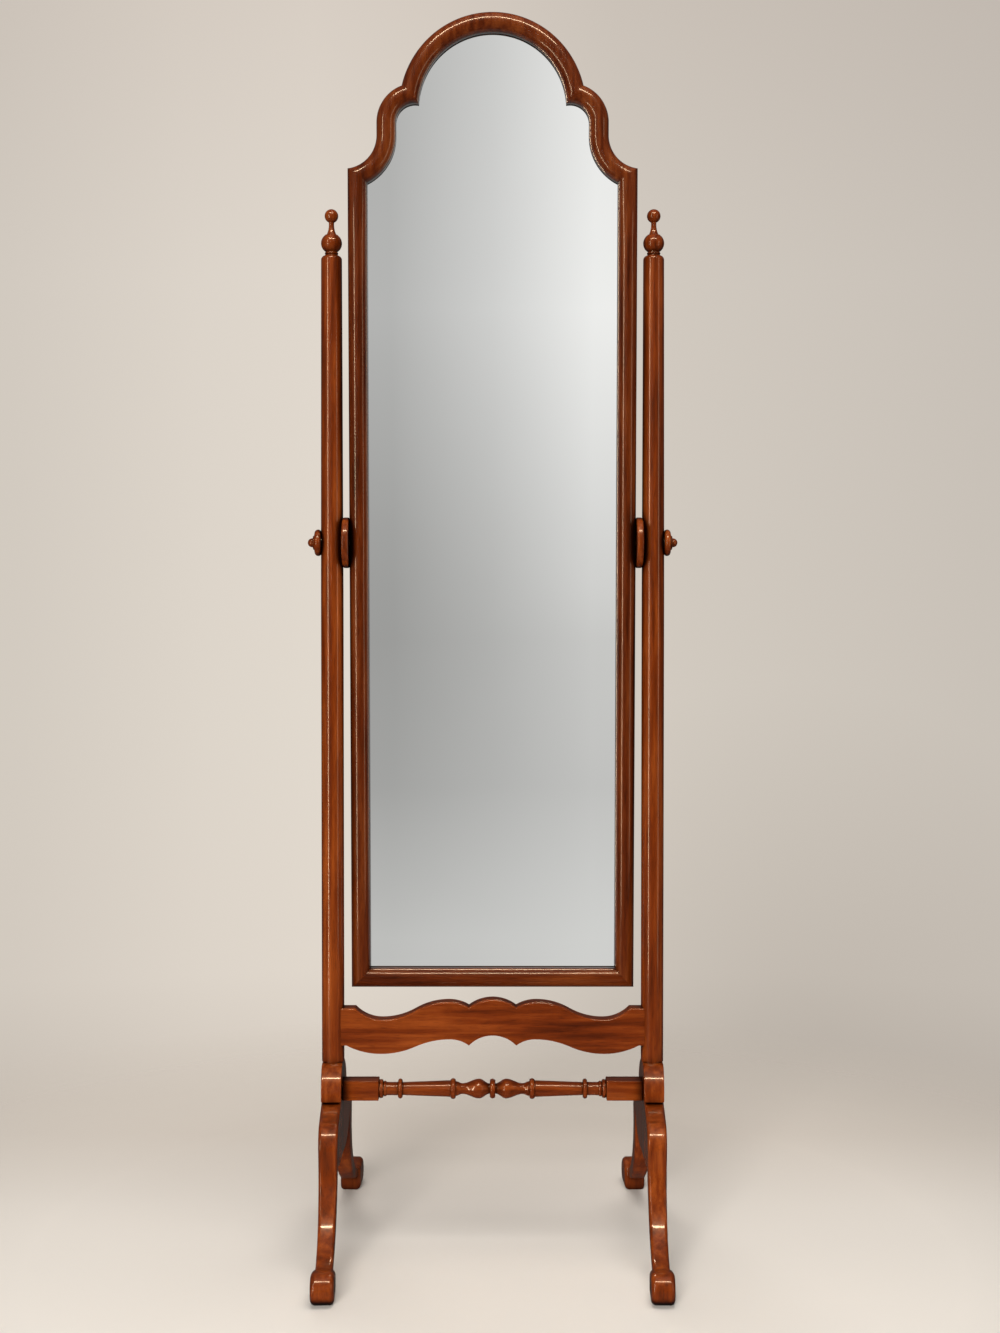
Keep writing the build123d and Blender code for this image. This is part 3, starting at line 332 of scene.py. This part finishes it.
@dataclass(frozen=True)
class Board:
    """The plain brown backing board, faintly fibrous."""

    name: str = "board"
    pale: Colour = (0.33, 0.21, 0.12)
    deep: Colour = (0.2, 0.12, 0.065)
    fibre_stretch: Place = (420.0, 60.0, 60.0)
    roughness: float = 0.75

    def make(self) -> bpy.types.Material:
        """Builds the material.

        Returns:
            The finished material.
        """
        material, sheet = new_finish(self.name)
        place = sheet.add("TexCoord").outputs["Object"]
        fibre = sheet.noise(place, self.fibre_stretch, Detail=5.0)
        tint = sheet.ramp(fibre, {0.3: self.deep, 0.7: self.pale})
        bump = sheet.add("Bump", Height=fibre, Strength=0.15, Distance=0.0003).outputs[0]
        sheet.finish(sheet.add("BsdfPrincipled", Base_Color=tint, Roughness=self.roughness, Normal=bump))
        return material


def hand_over(name: str, shape: bmesh.types.BMesh, crease: float) -> bpy.types.Object:
    """Makes a smooth object of a finished shape and links it.

    Args:
        name: The piece's name.
        shape: Its bmesh, which is freed.
        crease: The angle in degrees from which an edge stays sharp.

    Returns:
        The piece.
    """
    mesh = bpy.data.meshes.new(name)
    shape.to_mesh(mesh)
    shape.free()
    mesh.shade_smooth()
    mesh.set_sharp_from_angle(angle=math.radians(crease))
    piece = bpy.data.objects.new(name, mesh)
    bpy.context.scene.collection.objects.link(piece)
    LOG.info("made %s with %d faces", name, len(mesh.polygons))
    return piece


def settle(piece: bpy.types.Object, body: str, wood: bpy.types.Material, *nodes: str) -> None:
    """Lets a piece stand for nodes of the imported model.

    Args:
        piece: The new piece.
        body: The body that it rides on.
        wood: Its finish.
        nodes: The nodes that it replaces.
    """
    piece.data.materials.append(wood)
    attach(piece, body)
    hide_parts(*nodes)


class Outline:
    """Half the outline of a turning: pairs of radius and place along its axis, in millimetres."""

    def __init__(self, radius: float, along: float) -> None:
        """Starts the outline at one point."""
        self.points: list[Spot] = [(radius, along)]

    def line(self, *points: Spot) -> "Outline":
        """Adds straight runs to the points and returns the outline."""
        self.points.extend(points)
        return self

    def arc(self, middle: Spot, end: Spot, steps: int = 12) -> "Outline":
        """Adds the arc through a middle point to an end point.

        Args:
            middle: A point that the arc passes.
            end: Where it ends.
            steps: Its number of short runs.

        Returns:
            The outline.
        """
        start, bend, stop = Vector(self.points[-1]), Vector(middle), Vector(end)
        one, two = bend - start, stop - start
        cross = 2.0 * (one.x * two.y - one.y * two.x)
        centre = start + Vector((
            (two.y * one.length_squared - one.y * two.length_squared) / cross,
            (one.x * two.length_squared - two.x * one.length_squared) / cross,
        ))
        first = math.atan2(start.y - centre.y, start.x - centre.x)
        sweep = (math.atan2(stop.y - centre.y, stop.x - centre.x) - first) % math.tau
        passed = (math.atan2(bend.y - centre.y, bend.x - centre.x) - first) % math.tau
        if passed > sweep:
            sweep -= math.tau
        reach = (start - centre).length
        for step in range(1, steps + 1):
            turn = first + sweep * step / steps
            self.points.append((centre.x + reach * math.cos(turn), centre.y + reach * math.sin(turn)))
        return self

    def sway(self, end: Spot, steps: int = 16) -> "Outline":
        """Adds a curve that leaves and arrives along the axis.

        Args:
            end: Where it ends.
            steps: Its number of short runs.

        Returns:
            The outline.
        """
        radius, along = self.points[-1]
        for step in range(1, steps + 1):
            share = step / steps
            eased = 0.5 - 0.5 * math.cos(math.pi * share)
            self.points.append((radius + (end[0] - radius) * eased, along + (end[1] - along) * share))
        return self

    def mirror(self) -> "Outline":
        """Puts the outline's mirror image before it, about its first point, and returns it."""
        self.points = [(radius, -along) for radius, along in reversed(self.points[1:])] + self.points
        return self


@dataclass
class Lathe:
    """Turns outlines into pieces about an axis."""

    steps: int = 80
    crease: float = 32.0

    def turn(self, name: str, outline: Outline, foot: Vector, axis: Vector) -> bpy.types.Object:
        """Spins an outline about an axis.

        Args:
            name: The piece's name.
            outline: Half its outline, in millimetres.
            foot: Where the outline's zero is on the axis, in metres.
            axis: The way the outline runs.

        Returns:
            The turned piece.
        """
        across = axis.orthogonal().normalized()
        turning = bmesh.new()
        corners = [
            turning.verts.new(foot + axis * along * MM + across * radius * MM)
            for radius, along in outline.points
        ]
        runs = [turning.edges.new(pair) for pair in zip(corners, corners[1:])]
        bmesh.ops.spin(turning, geom=corners + runs, cent=foot, axis=axis, angle=math.tau,
                       steps=self.steps, use_merge=True)
        bmesh.ops.remove_doubles(turning, verts=turning.verts[:], dist=MERGE_DISTANCE)
        bmesh.ops.recalc_face_normals(turning, faces=turning.faces[:])
        return hand_over(name, turning, self.crease)


@dataclass
class Turnings:
    """The posts, the finials, the stretcher and the clamping knobs, turned over their solids."""

    post_x: float = 208.8
    post_top: float = 1281.5
    pivot_height: float = 910.4
    knob_seat: float = 222.5
    stretcher_height: float = 195.9
    square_start: float = 148.72
    square_end: float = 195.9
    square_width: float = 25.5
    square_edge: float = 1.0
    lathe: Lathe = field(default_factory=Lathe)

    def posts(self, wood: bpy.types.Material) -> None:
        """Turns both posts, straight to above the pivot and tapered beyond.

        Args:
            wood: Their finish.
        """
        for side, way in SIDES.items():
            tenon = Outline(0.0, 211.0).line((8.5, 211.0), (9.0, 211.5), (9.0, 233.0), (14.6, 233.0))
            shaft = tenon.line((14.6, 845.0), (13.5, 1276.5)).arc((12.4, 1279.6), (9.8, self.post_top))
            outline = shaft.line((0.0, self.post_top))
            foot = Vector((way * self.post_x * MM, 0.0, 0.0))
            piece = self.lathe.turn(f"{side}_turned_post", outline, foot, UP)
            settle(piece, "stand", wood, f"{side}_post")

    def finials(self, wood: bpy.types.Material) -> None:
        """Turns both finials.

        Args:
            wood: Their finish.
        """
        for side, way in SIDES.items():
            foot_bead = Outline(0.0, 0.0).line((8.0, 0.0)).arc((8.5, 0.35), (8.3, 1.0)).line((7.7, 1.9))
            ball = foot_bead.arc((8.7, 3.3), (7.7, 4.7)).line((7.5, 5.4), (8.0, 5.85))
            ball.arc((13.6, 16.6), (8.6, 26.4)).arc((8.3, 26.8), (7.7, 26.9), 5)
            stem = ball.line((6.5, 27.0)).arc((4.2, 33.3), (3.5, 43.43))
            outline = stem.arc((8.8, 51.5), (0.0, 60.3), 20)
            foot = Vector((way * self.post_x, 0.0, self.post_top)) * MM
            piece = self.lathe.turn(f"{side}_turned_finial", outline, foot, UP)
            settle(piece, "stand", wood, f"{side}_finial")

    def knobs(self, wood: bpy.types.Material) -> None:
        """Turns both clamping knobs, each with a rim, a ring and a ball.

        Args:
            wood: Their finish.
        """
        for side, way in SIDES.items():
            recess = Outline(0.0, 1.65).line((8.3, 1.65), (8.3, 0.25), (14.0, 0.25))
            rim = recess.arc((17.25, 4.42), (14.1, 8.6)).arc((11.0, 7.4), (8.3, 8.0))
            ring = rim.arc((9.3, 9.5), (8.3, 11.0)).line((6.2, 11.05), (5.67, 11.0))
            outline = ring.arc((5.8, 12.2), (0.0, 17.95), 18)
            foot = Vector((way * self.knob_seat, 0.0, self.pivot_height)) * MM
            piece = self.lathe.turn(f"{side}_turned_knob", outline, foot, Vector((float(way), 0.0, 0.0)))
            settle(piece, f"{side}_clamp", wood, f"{side}_knob")

    def stretcher(self, wood: bpy.types.Material) -> None:
        """Turns the stretcher from its middle out, and squares its ends.

        Args:
            wood: Its finish.
        """
        middle_bead = Outline(12.6, 0.0).arc((12.1, 2.0), (10.6, 3.6), 6).line((6.6, 3.7))
        vase = middle_bead.sway((12.6, 17.5)).sway((6.9, 39.3)).sway((9.4, 48.2), 8)
        bead = vase.line((9.6, 48.3), (11.3, 48.3)).arc((13.3, 51.65), (11.3, 55.0))
        shaft = bead.line((10.6, 55.1), (8.3, 118.0), (10.8, 118.1)).arc((12.8, 120.9), (10.8, 123.7))
        neck = shaft.line((8.6, 123.8), (8.4, 131.0), (8.6, 138.9), (9.1, 138.9))
        ring = neck.arc((9.9, 141.15), (9.1, 143.4)).line((8.8, 143.45), (11.3, 143.5))
        outline = ring.arc((12.1, 146.05), (11.3, 148.6)).line((0.0, 149.2)).mirror()
        foot = Vector((0.0, 0.0, self.stretcher_height)) * MM
        piece = self.lathe.turn("turned_stretcher", outline, foot, Vector((1.0, 0.0, 0.0)))
        settle(piece, "stand", wood, "stretcher")
        length = self.square_end - self.square_start
        size = Vector((length, self.square_width, self.square_width)) * MM
        for side, way in SIDES.items():
            block = bmesh.new()
            bmesh.ops.create_cube(block, size=1.0)
            bmesh.ops.scale(block, verts=block.verts[:], vec=size)
            middle = Vector((way * (self.square_start + length / 2.0), 0.0, self.stretcher_height)) * MM
            bmesh.ops.translate(block, verts=block.verts[:], vec=middle)
            bmesh.ops.bevel(block, geom=block.edges[:], offset=self.square_edge * MM, segments=3,
                            profile=0.5, affect="EDGES", material=-1)
            square = hand_over(f"{side}_stretcher_square", block, self.lathe.crease)
            settle(square, "stand", wood, "stretcher")

    def build(self, upright: bpy.types.Material, across: bpy.types.Material) -> None:
        """Turns every piece.

        Args:
            upright: The finish of what stands.
            across: The finish of what runs across.
        """
        self.posts(upright)
        self.finials(upright)
        self.knobs(across)
        self.stretcher(across)


@dataclass
class FrameMoulding:
    """The half-round moulding round the looking glass, swept with true mitres."""

    half_width: float = 186.0
    drop: float = 584.9
    arch_height: float = 554.8
    arch_radius: float = 119.6
    shoulder: Spot = (99.5, 536.3)
    shoulder_radius: float = 49.2
    scoop: Spot = (190.9, 520.4)
    scoop_radius: float = 42.2
    width: float = 25.0
    back: float = -9.0
    spring: float = 2.5
    wall_step: float = 4.0
    glass_rebate: float = 17.6
    glass_front: float = -1.9
    glass_back: float = -5.9
    board_rebate: float = 9.6
    lean: float = math.radians(2.3)
    pivot_height: float = 910.4
    round_steps: int = 24
    arch_steps: int = 36
    curve_steps: int = 26
    stile_steps: int = 12
    rail_steps: int = 6
    crease: float = 40.0

    def section(self) -> list[Spot]:
        """Lists the section's corners, round the outside, over the half round and down the rebates.

        Returns:
            Pairs of inset and height above the glass plane.
        """
        half = self.width / 2.0
        points = [(0.0, self.back), (0.0, self.spring - self.wall_step)]
        for step in range(self.round_steps + 1):
            turn = math.pi * (1.0 - step / self.round_steps)
            points.append((half + half * math.cos(turn), self.spring + half * math.sin(turn)))
        return points + [
            (self.width, self.glass_front), (self.glass_rebate, self.glass_front),
            (self.glass_rebate, self.glass_back), (self.board_rebate, self.glass_back),
            (self.board_rebate, self.back),
        ]

    @staticmethod
    def swing(centre: Spot, radius: float, start: Vector, stop: Vector, steps: int) -> list[Vector]:
        """Lists points along the shorter arc between two points about a centre.

        Args:
            centre: The arc's centre.
            radius: Its radius.
            start: Where it starts.
            stop: Where it ends, which is left out of the list.
            steps: Its number of short runs.

        Returns:
            The points.
        """
        middle = Vector(centre)
        first = math.atan2(start.y - middle.y, start.x - middle.x)
        sweep = math.remainder(math.atan2(stop.y - middle.y, stop.x - middle.x) - first, math.tau)
        turns = [first + sweep * step / steps for step in range(steps)]
        return [middle + radius * Vector((math.cos(turn), math.sin(turn))) for turn in turns]

    def half_outline(self, inset: float) -> list[Vector]:
        """Lists the right half of the outline at an inset, from the crown down to the bottom rail.

        Args:
            inset: How far inside the edge, in millimetres.

        Returns:
            The same number of points at any inset.
        """
        arch, hump = self.arch_radius - inset, self.shoulder_radius - inset
        hollow = self.scoop_radius + inset
        crown = Vector((0.0, self.arch_height))
        gap = Vector(self.shoulder) - crown
        reach = (gap.length_squared + arch**2 - hump**2) / (2.0 * gap.length)
        rise = math.sqrt(arch**2 - reach**2)
        along = gap.normalized()
        mitre = crown + along * reach + Vector((-along.y, along.x)) * rise
        waist_top = Vector(self.shoulder) + Vector((hump, 0.0))
        waist_foot = Vector(self.scoop) - Vector((hollow, 0.0))
        side = self.half_width - inset
        depth = math.sqrt(hollow**2 - (self.scoop[0] - side) ** 2)
        corner = Vector((side, self.scoop[1] - depth))
        foot = Vector((side, inset - self.drop))
        points = self.swing(tuple(crown), arch, crown + Vector((0.0, arch)), mitre, self.arch_steps)
        points += self.swing(self.shoulder, hump, mitre, waist_top, self.curve_steps)
        points += [waist_top]
        points += self.swing(self.scoop, hollow, waist_foot, corner, self.curve_steps)
        points += [corner.lerp(foot, step / self.stile_steps) for step in range(self.stile_steps)]
        return points + [foot]

    def place(self, spot: Vector, height: float) -> Vector:
        """Carries a spot on the glass plane into the frame.

        Args:
            spot: Its place across and up the glass, in millimetres.
            height: How far it stands in front of the glass plane.

        Returns:
            The place in metres.
        """
        cosine, sine = math.cos(self.lean), math.sin(self.lean)
        return Vector((spot.x, -spot.y * sine - height * cosine,
                       self.pivot_height + spot.y * cosine - height * sine)) * MM

    def sweep(self, name: str, stations: list[list[Vector]]) -> bpy.types.Object:
        """Joins sections along a run and caps its ends.

        Args:
            name: The piece's name.
            stations: The section's corners at each station.

        Returns:
            The swept piece.
        """
        run = bmesh.new()
        last: list[bmesh.types.BMEdge] = []
        for index, corners in enumerate(stations):
            verts = [run.verts.new(corner) for corner in corners]
            edges = [run.edges.new(pair) for pair in zip(verts, verts[1:] + verts[:1])]
            if last:
                bmesh.ops.bridge_loops(run, edges=last + edges)
            if index in (0, len(stations) - 1):
                bmesh.ops.contextual_create(run, geom=edges)
            last = edges
        bmesh.ops.recalc_face_normals(run, faces=run.faces[:])
        return hand_over(name, run, self.crease)

    def build(self, upright: bpy.types.Material, across: bpy.types.Material) -> None:
        """Sweeps the crest with its stiles, and the bottom rail.

        Args:
            upright: The finish of the crest and stiles.
            across: The finish of the bottom rail.
        """
        section = self.section()
        halves = [self.half_outline(inset) for inset, _ in section]
        count = len(halves[0])

        def station(index: int, way: int) -> list[Vector]:
            """Lists the section's corners at one station on one side."""
            return [self.place(Vector((way * half[index].x, half[index].y)), height)
                    for half, (_, height) in zip(halves, section)]

        left = [station(index, -1) for index in range(count - 1, 0, -1)]
        right = [station(index, 1) for index in range(count)]
        hoop = self.sweep("frame_moulding", left + right)
        rail = self.sweep("bottom_moulding", [
            [start.lerp(stop, step / self.rail_steps) for start, stop in zip(left[0], right[-1])]
            for step in range(self.rail_steps + 1)
        ])
        settle(hoop, "looking_glass", upright,
               "left_stile", "right_stile", "left_shoulder", "right_shoulder", "crest_arch")
        settle(rail, "looking_glass", across, "bottom_rail")


class Workshop:
    """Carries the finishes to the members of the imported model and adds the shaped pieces."""

    def __init__(self, nodes: dict[str, bpy.types.Object]) -> None:
        """Keeps the nodes.

        Args:
            nodes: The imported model's objects by name.
        """
        self.nodes = nodes

    def dress(self, material: bpy.types.Material, *names: str) -> None:
        """Gives nodes a material.

        Args:
            material: The finish.
            names: The nodes that take it.
        """
        for name in names:
            node = self.nodes[name]
            node.data.materials.clear()
            node.data.materials.append(material)
            LOG.info("dressed %s in %s", name, material.name)

    @staticmethod
    def both(*parts: str) -> list[str]:
        """Lists the left and the right node of each part."""
        return [f"{side}_{part}" for side in SIDES for part in parts]

    def finish_all(self) -> None:
        """Dresses every member in its own wood, metal, glass or board."""
        upright = Mahogany("mahogany_upright", Grain.UPRIGHT).make()
        across = Mahogany("mahogany_across", Grain.ACROSS).make()
        legs = Mahogany("mahogany_legs", Grain.UPRIGHT, dark=(0.045, 0.01, 0.003)).make()
        self.dress(upright, *self.both("hub", "pivot_disc"))
        self.dress(legs, *self.both("front_leg", "back_leg"))
        self.dress(across, "apron_rail")
        bare = Mahogany("bare_wood", Grain.ACROSS, dark=(0.3, 0.19, 0.1), middle=(0.45, 0.3, 0.17),
                        light=(0.55, 0.38, 0.22), roughness=0.6, coat=0.0).make()
        self.dress(bare, "leg_dowels", "frame_splines")
        self.dress(Silvering().make(), "mirror_glass")
        self.dress(Board().make(), "backing_board")
        steel = Metal("steel", (0.6, 0.6, 0.6), 0.28).make()
        self.dress(steel, "backing_screws", *self.both("knob_stud", "knob_washer"))
        Turnings().build(upright, across)
        shade = {"dark": (0.016, 0.0018, 0.0003), "middle": (0.1, 0.0145, 0.0011),
                 "light": (0.22, 0.048, 0.007)}
        FrameMoulding().build(Mahogany("mahogany_frame", Grain.UPRIGHT, **shade).make(),
                              Mahogany("mahogany_frame_across", Grain.ACROSS, **shade).make())
        self.dress(Metal("brass", (0.75, 0.52, 0.2), 0.25).make(), *self.both("pivot_insert"))


@dataclass(frozen=True)
class Lamp:
    """A soft rectangular light, with its size as width and height and its power in watts."""

    name: str
    place: Place
    size: Spot
    power: float
    use: LampUse
    target: Place = (0.0, 0.0, 0.75)

    def hang(self) -> None:
        """Hangs the lamp so that only polish, or only what it lights, sees it."""
        data = bpy.data.lights.new(self.name, "AREA")
        data.shape = "RECTANGLE"
        data.size, data.size_y = self.size
        data.energy = self.power
        data.color = self.use.value
        light = bpy.data.objects.new(self.name, data)
        light.location = self.place
        light.visible_glossy = self.use is LampUse.HIGHLIGHT
        light.visible_diffuse = self.use is LampUse.FILL
        facing = Vector(self.target) - Vector(self.place)
        light.rotation_euler = facing.to_track_quat("-Z", "Y").to_euler()
        bpy.context.scene.collection.objects.link(light)


@dataclass
class Room:
    """What is round the mirror: the backdrop that the camera sees and the room that the glass shows."""

    pale_offset: float = 0.1
    # The way of the rays round which the painted shadow on the backdrop is darkest.
    corner: Place = (0.17, 0.96, -0.23)
    fill: Colour = (0.11, 0.106, 0.1)
    wall: Colour = (0.3, 0.29, 0.28)

    def backdrop(self, sheet: NodeSheet, ray: bpy.types.NodeSocket, along: bpy.types.NodeSocket,
                 height: bpy.types.NodeSocket) -> bpy.types.NodeSocket:
        """Paints the backdrop, palest left of the middle as a painted pool of light, and a little darker
        behind the stand as its painted shadow.

        Args:
            sheet: The world's node sheet.
            ray: The way that a ray runs.
            along: How far it runs to the right.
            height: How far it runs up.

        Returns:
            The backdrop's colour.
        """
        rise = sheet.maths("MULTIPLY_ADD", height, 1.0, 0.5)
        upright = sheet.ramp(rise, {
            0.14: (0.70, 0.64, 0.57), 0.235: (0.64, 0.575, 0.505), 0.30: (0.72, 0.655, 0.58),
            0.45: (0.725, 0.665, 0.59), 0.70: (0.715, 0.655, 0.585), 0.86: (0.655, 0.59, 0.525),
        })
        # Painted light: the backdrop is brightest just left of the middle and falls off to both sides.
        spread = sheet.maths("ABSOLUTE", sheet.maths("ADD", along, self.pale_offset))
        sides = sheet.ramp(spread, {0.0: grey(1.04), 0.07: WHITE, 0.17: grey(0.9), 0.38: (0.81, 0.81, 0.815)})
        # Painted shadow: the backdrop darkens round one way of the rays, behind the stand to the right.
        distance = sheet.add("VectorMath", operation="DISTANCE", Vector=ray)
        distance.inputs[1].default_value = self.corner
        painted_shadow = sheet.ramp(distance.outputs["Value"], {0.02: (0.87, 0.865, 0.86), 0.2: WHITE})
        return sheet.mix(1.0, sheet.mix(1.0, upright, sides, "MULTIPLY"), painted_shadow, "MULTIPLY")

    def reflection(self, sheet: NodeSheet, along: bpy.types.NodeSocket, depth: bpy.types.NodeSocket,
                   rise: bpy.types.NodeSocket) -> bpy.types.NodeSocket:
        """Paints the bright wall that the glass shows, brighter to the right and above.

        Args:
            sheet: The world's node sheet.
            along: How far a ray runs to the right.
            depth: How far it runs away from the viewer.
            rise: How far it runs up, from 0 to 1.

        Returns:
            The reflected room's colour.
        """
        window = sheet.ramp(rise, {
            0.11: (0.665, 0.66, 0.645), 0.24: (0.515, 0.51, 0.50), 0.37: (0.51, 0.505, 0.495),
            0.47: (0.575, 0.57, 0.56), 0.66: (0.73, 0.725, 0.715), 0.86: (0.69, 0.685, 0.675),
        })
        slant = sheet.maths("MULTIPLY_ADD", along, 3.4, 0.5)
        steep = sheet.ramp(slant, {0.3: grey(0.73), 0.5: WHITE, 0.7: grey(1.36)})
        gentle = sheet.ramp(slant, {0.3: grey(0.9), 0.7: grey(1.09)})
        upper = sheet.ramp(rise, {0.11: BLACK, 0.42: WHITE})
        facing = sheet.mix(1.0, window, sheet.mix(upper, gentle, steep), "MULTIPLY")
        towards = sheet.ramp(sheet.maths("MULTIPLY", depth, -1.0), {0.88: BLACK, 0.955: WHITE})
        return sheet.mix(towards, self.wall, facing)

    def build(self) -> None:
        """Makes the world: polish sees a dim room, and only the glass sees the bright wall."""
        world = bpy.data.worlds.new("studio")
        world.use_nodes = True
        bpy.context.scene.world = world
        sheet = NodeSheet(world.node_tree)
        ray = sheet.add("TexCoord").outputs["Generated"]
        along, depth, height = sheet.add("SeparateXYZ", Vector=ray).outputs[:3]
        rise = sheet.maths("MULTIPLY_ADD", height, 1.5, 0.5)
        dusk = sheet.ramp(rise, {
            0.1: (0.05, 0.045, 0.04), 0.5: (0.012, 0.011, 0.01), 1.0: (0.06, 0.057, 0.054),
        })
        path = sheet.add("LightPath").outputs
        room = sheet.mix(path["Is Singular Ray"], dusk, self.reflection(sheet, along, depth, rise))
        seen = sheet.mix(path["Is Glossy Ray"], self.fill, room)
        colour = sheet.mix(path["Is Camera Ray"], seen, self.backdrop(sheet, ray, along, height))
        sheet.finish(sheet.add("Background", Color=colour, Strength=1.0), "OutputWorld")


@dataclass
class Studio:
    """The plain studio: a camera, strip lights and soft fills, a pale floor and a soft backdrop."""

    camera_distance: float = 2.187
    camera_height: float = 0.799
    camera_fall: float = 1.3
    camera_shift: float = 0.00555
    lens: float = 45.317
    floor_radius: float = 6.0
    floor_fade: float = 3.0
    floor_segments: int = 96
    lamps: tuple[Lamp, ...] = (
        Lamp("left_strip", (-1.9, -2.1, 1.0), (0.12, 2.6), 30.0, LampUse.HIGHLIGHT),
        Lamp("right_softbox", (2.3, -1.5, 1.0), (0.3, 2.4), 7.5, LampUse.HIGHLIGHT),
        Lamp("overhead_strip", (0.0, -1.7, 3.2), (2.4, 0.12), 60.0, LampUse.HIGHLIGHT),
        Lamp("front_fill", (-1.0, -4.2, 1.7), (1.6, 2.0), 200.0, LampUse.FILL),
        Lamp("side_fill", (2.6, -1.6, 1.2), (1.2, 2.0), 3.0, LampUse.FILL),
        Lamp("top_light", (0.3, -0.3, 3.4), (1.8, 1.8), 58.0, LampUse.FILL, (0.0, 0.1, 0.0)),
        Lamp("back_light", (-0.8, 2.6, 2.2), (1.6, 1.6), 30.0, LampUse.FILL, (0.0, 0.0, 0.7)),
    )

    def set_camera(self) -> None:
        """Places the camera at the photograph's viewing angle."""
        data = bpy.data.cameras.new("camera")
        data.lens = self.lens
        data.shift_x = self.camera_shift
        camera = bpy.data.objects.new("camera", data)
        camera.location = (0.0, -self.camera_distance, self.camera_height)
        camera.rotation_euler = (math.radians(90.0 - self.camera_fall), 0.0, 0.0)
        bpy.context.scene.collection.objects.link(camera)
        bpy.context.scene.camera = camera

    def floor_paint(self) -> bpy.types.Material:
        """Makes the floor's paint, which clears with the distance from the middle and is darker towards the
        back as painted shade.

        Returns:
            The finished material.
        """
        material, sheet = new_finish("studio_floor")
        place = sheet.add("TexCoord").outputs["Object"]
        reach = sheet.add("VectorMath", operation="LENGTH", Vector=place).outputs["Value"]
        fade = sheet.ramp(sheet.maths("DIVIDE", reach, self.floor_fade), {0.2: BLACK, 0.42: WHITE})
        depth = sheet.add("SeparateXYZ", Vector=place).outputs[1]
        # Painted shade: the floor's colour darkens from front to back.
        painted_shade_tone = sheet.ramp(sheet.maths("ADD", depth, 0.5), {
            0.2: (0.80, 0.755, 0.70), 0.62: (0.755, 0.705, 0.65), 0.95: (0.67, 0.61, 0.55),
        })
        joined = sheet.add("MixShader", Fac=fade)
        sheet.link(sheet.add("BsdfDiffuse", Color=painted_shade_tone).outputs[0], joined.inputs[1])
        sheet.link(sheet.add("BsdfTransparent").outputs[0], joined.inputs[2])
        sheet.finish(joined)
        return material

    def lay_floor(self) -> None:
        """Lays the round floor, which fades into the backdrop far behind the mirror."""
        mesh = bpy.data.meshes.new("floor")
        disc = bmesh.new()
        bmesh.ops.create_circle(disc, cap_ends=True, segments=self.floor_segments, radius=self.floor_radius)
        disc.to_mesh(mesh)
        disc.free()
        mesh.materials.append(self.floor_paint())
        floor = bpy.data.objects.new("floor", mesh)
        floor.visible_glossy = False
        bpy.context.scene.collection.objects.link(floor)

    def build(self) -> None:
        """Sets up the whole studio."""
        self.set_camera()
        for lamp in self.lamps:
            lamp.hang()
        Room().build()
        self.lay_floor()
        bpy.context.scene.view_settings.view_transform = "Standard"
        LOG.info("studio is ready")


def main() -> None:
    """Dresses the cheval mirror and lights it."""
    logging.basicConfig(level=logging.INFO, format="%(name)s: %(message)s")
    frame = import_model()
    Studio().build()
    Workshop(frame["nodes"]).finish_all()


if __name__ == "__main__":
    main()
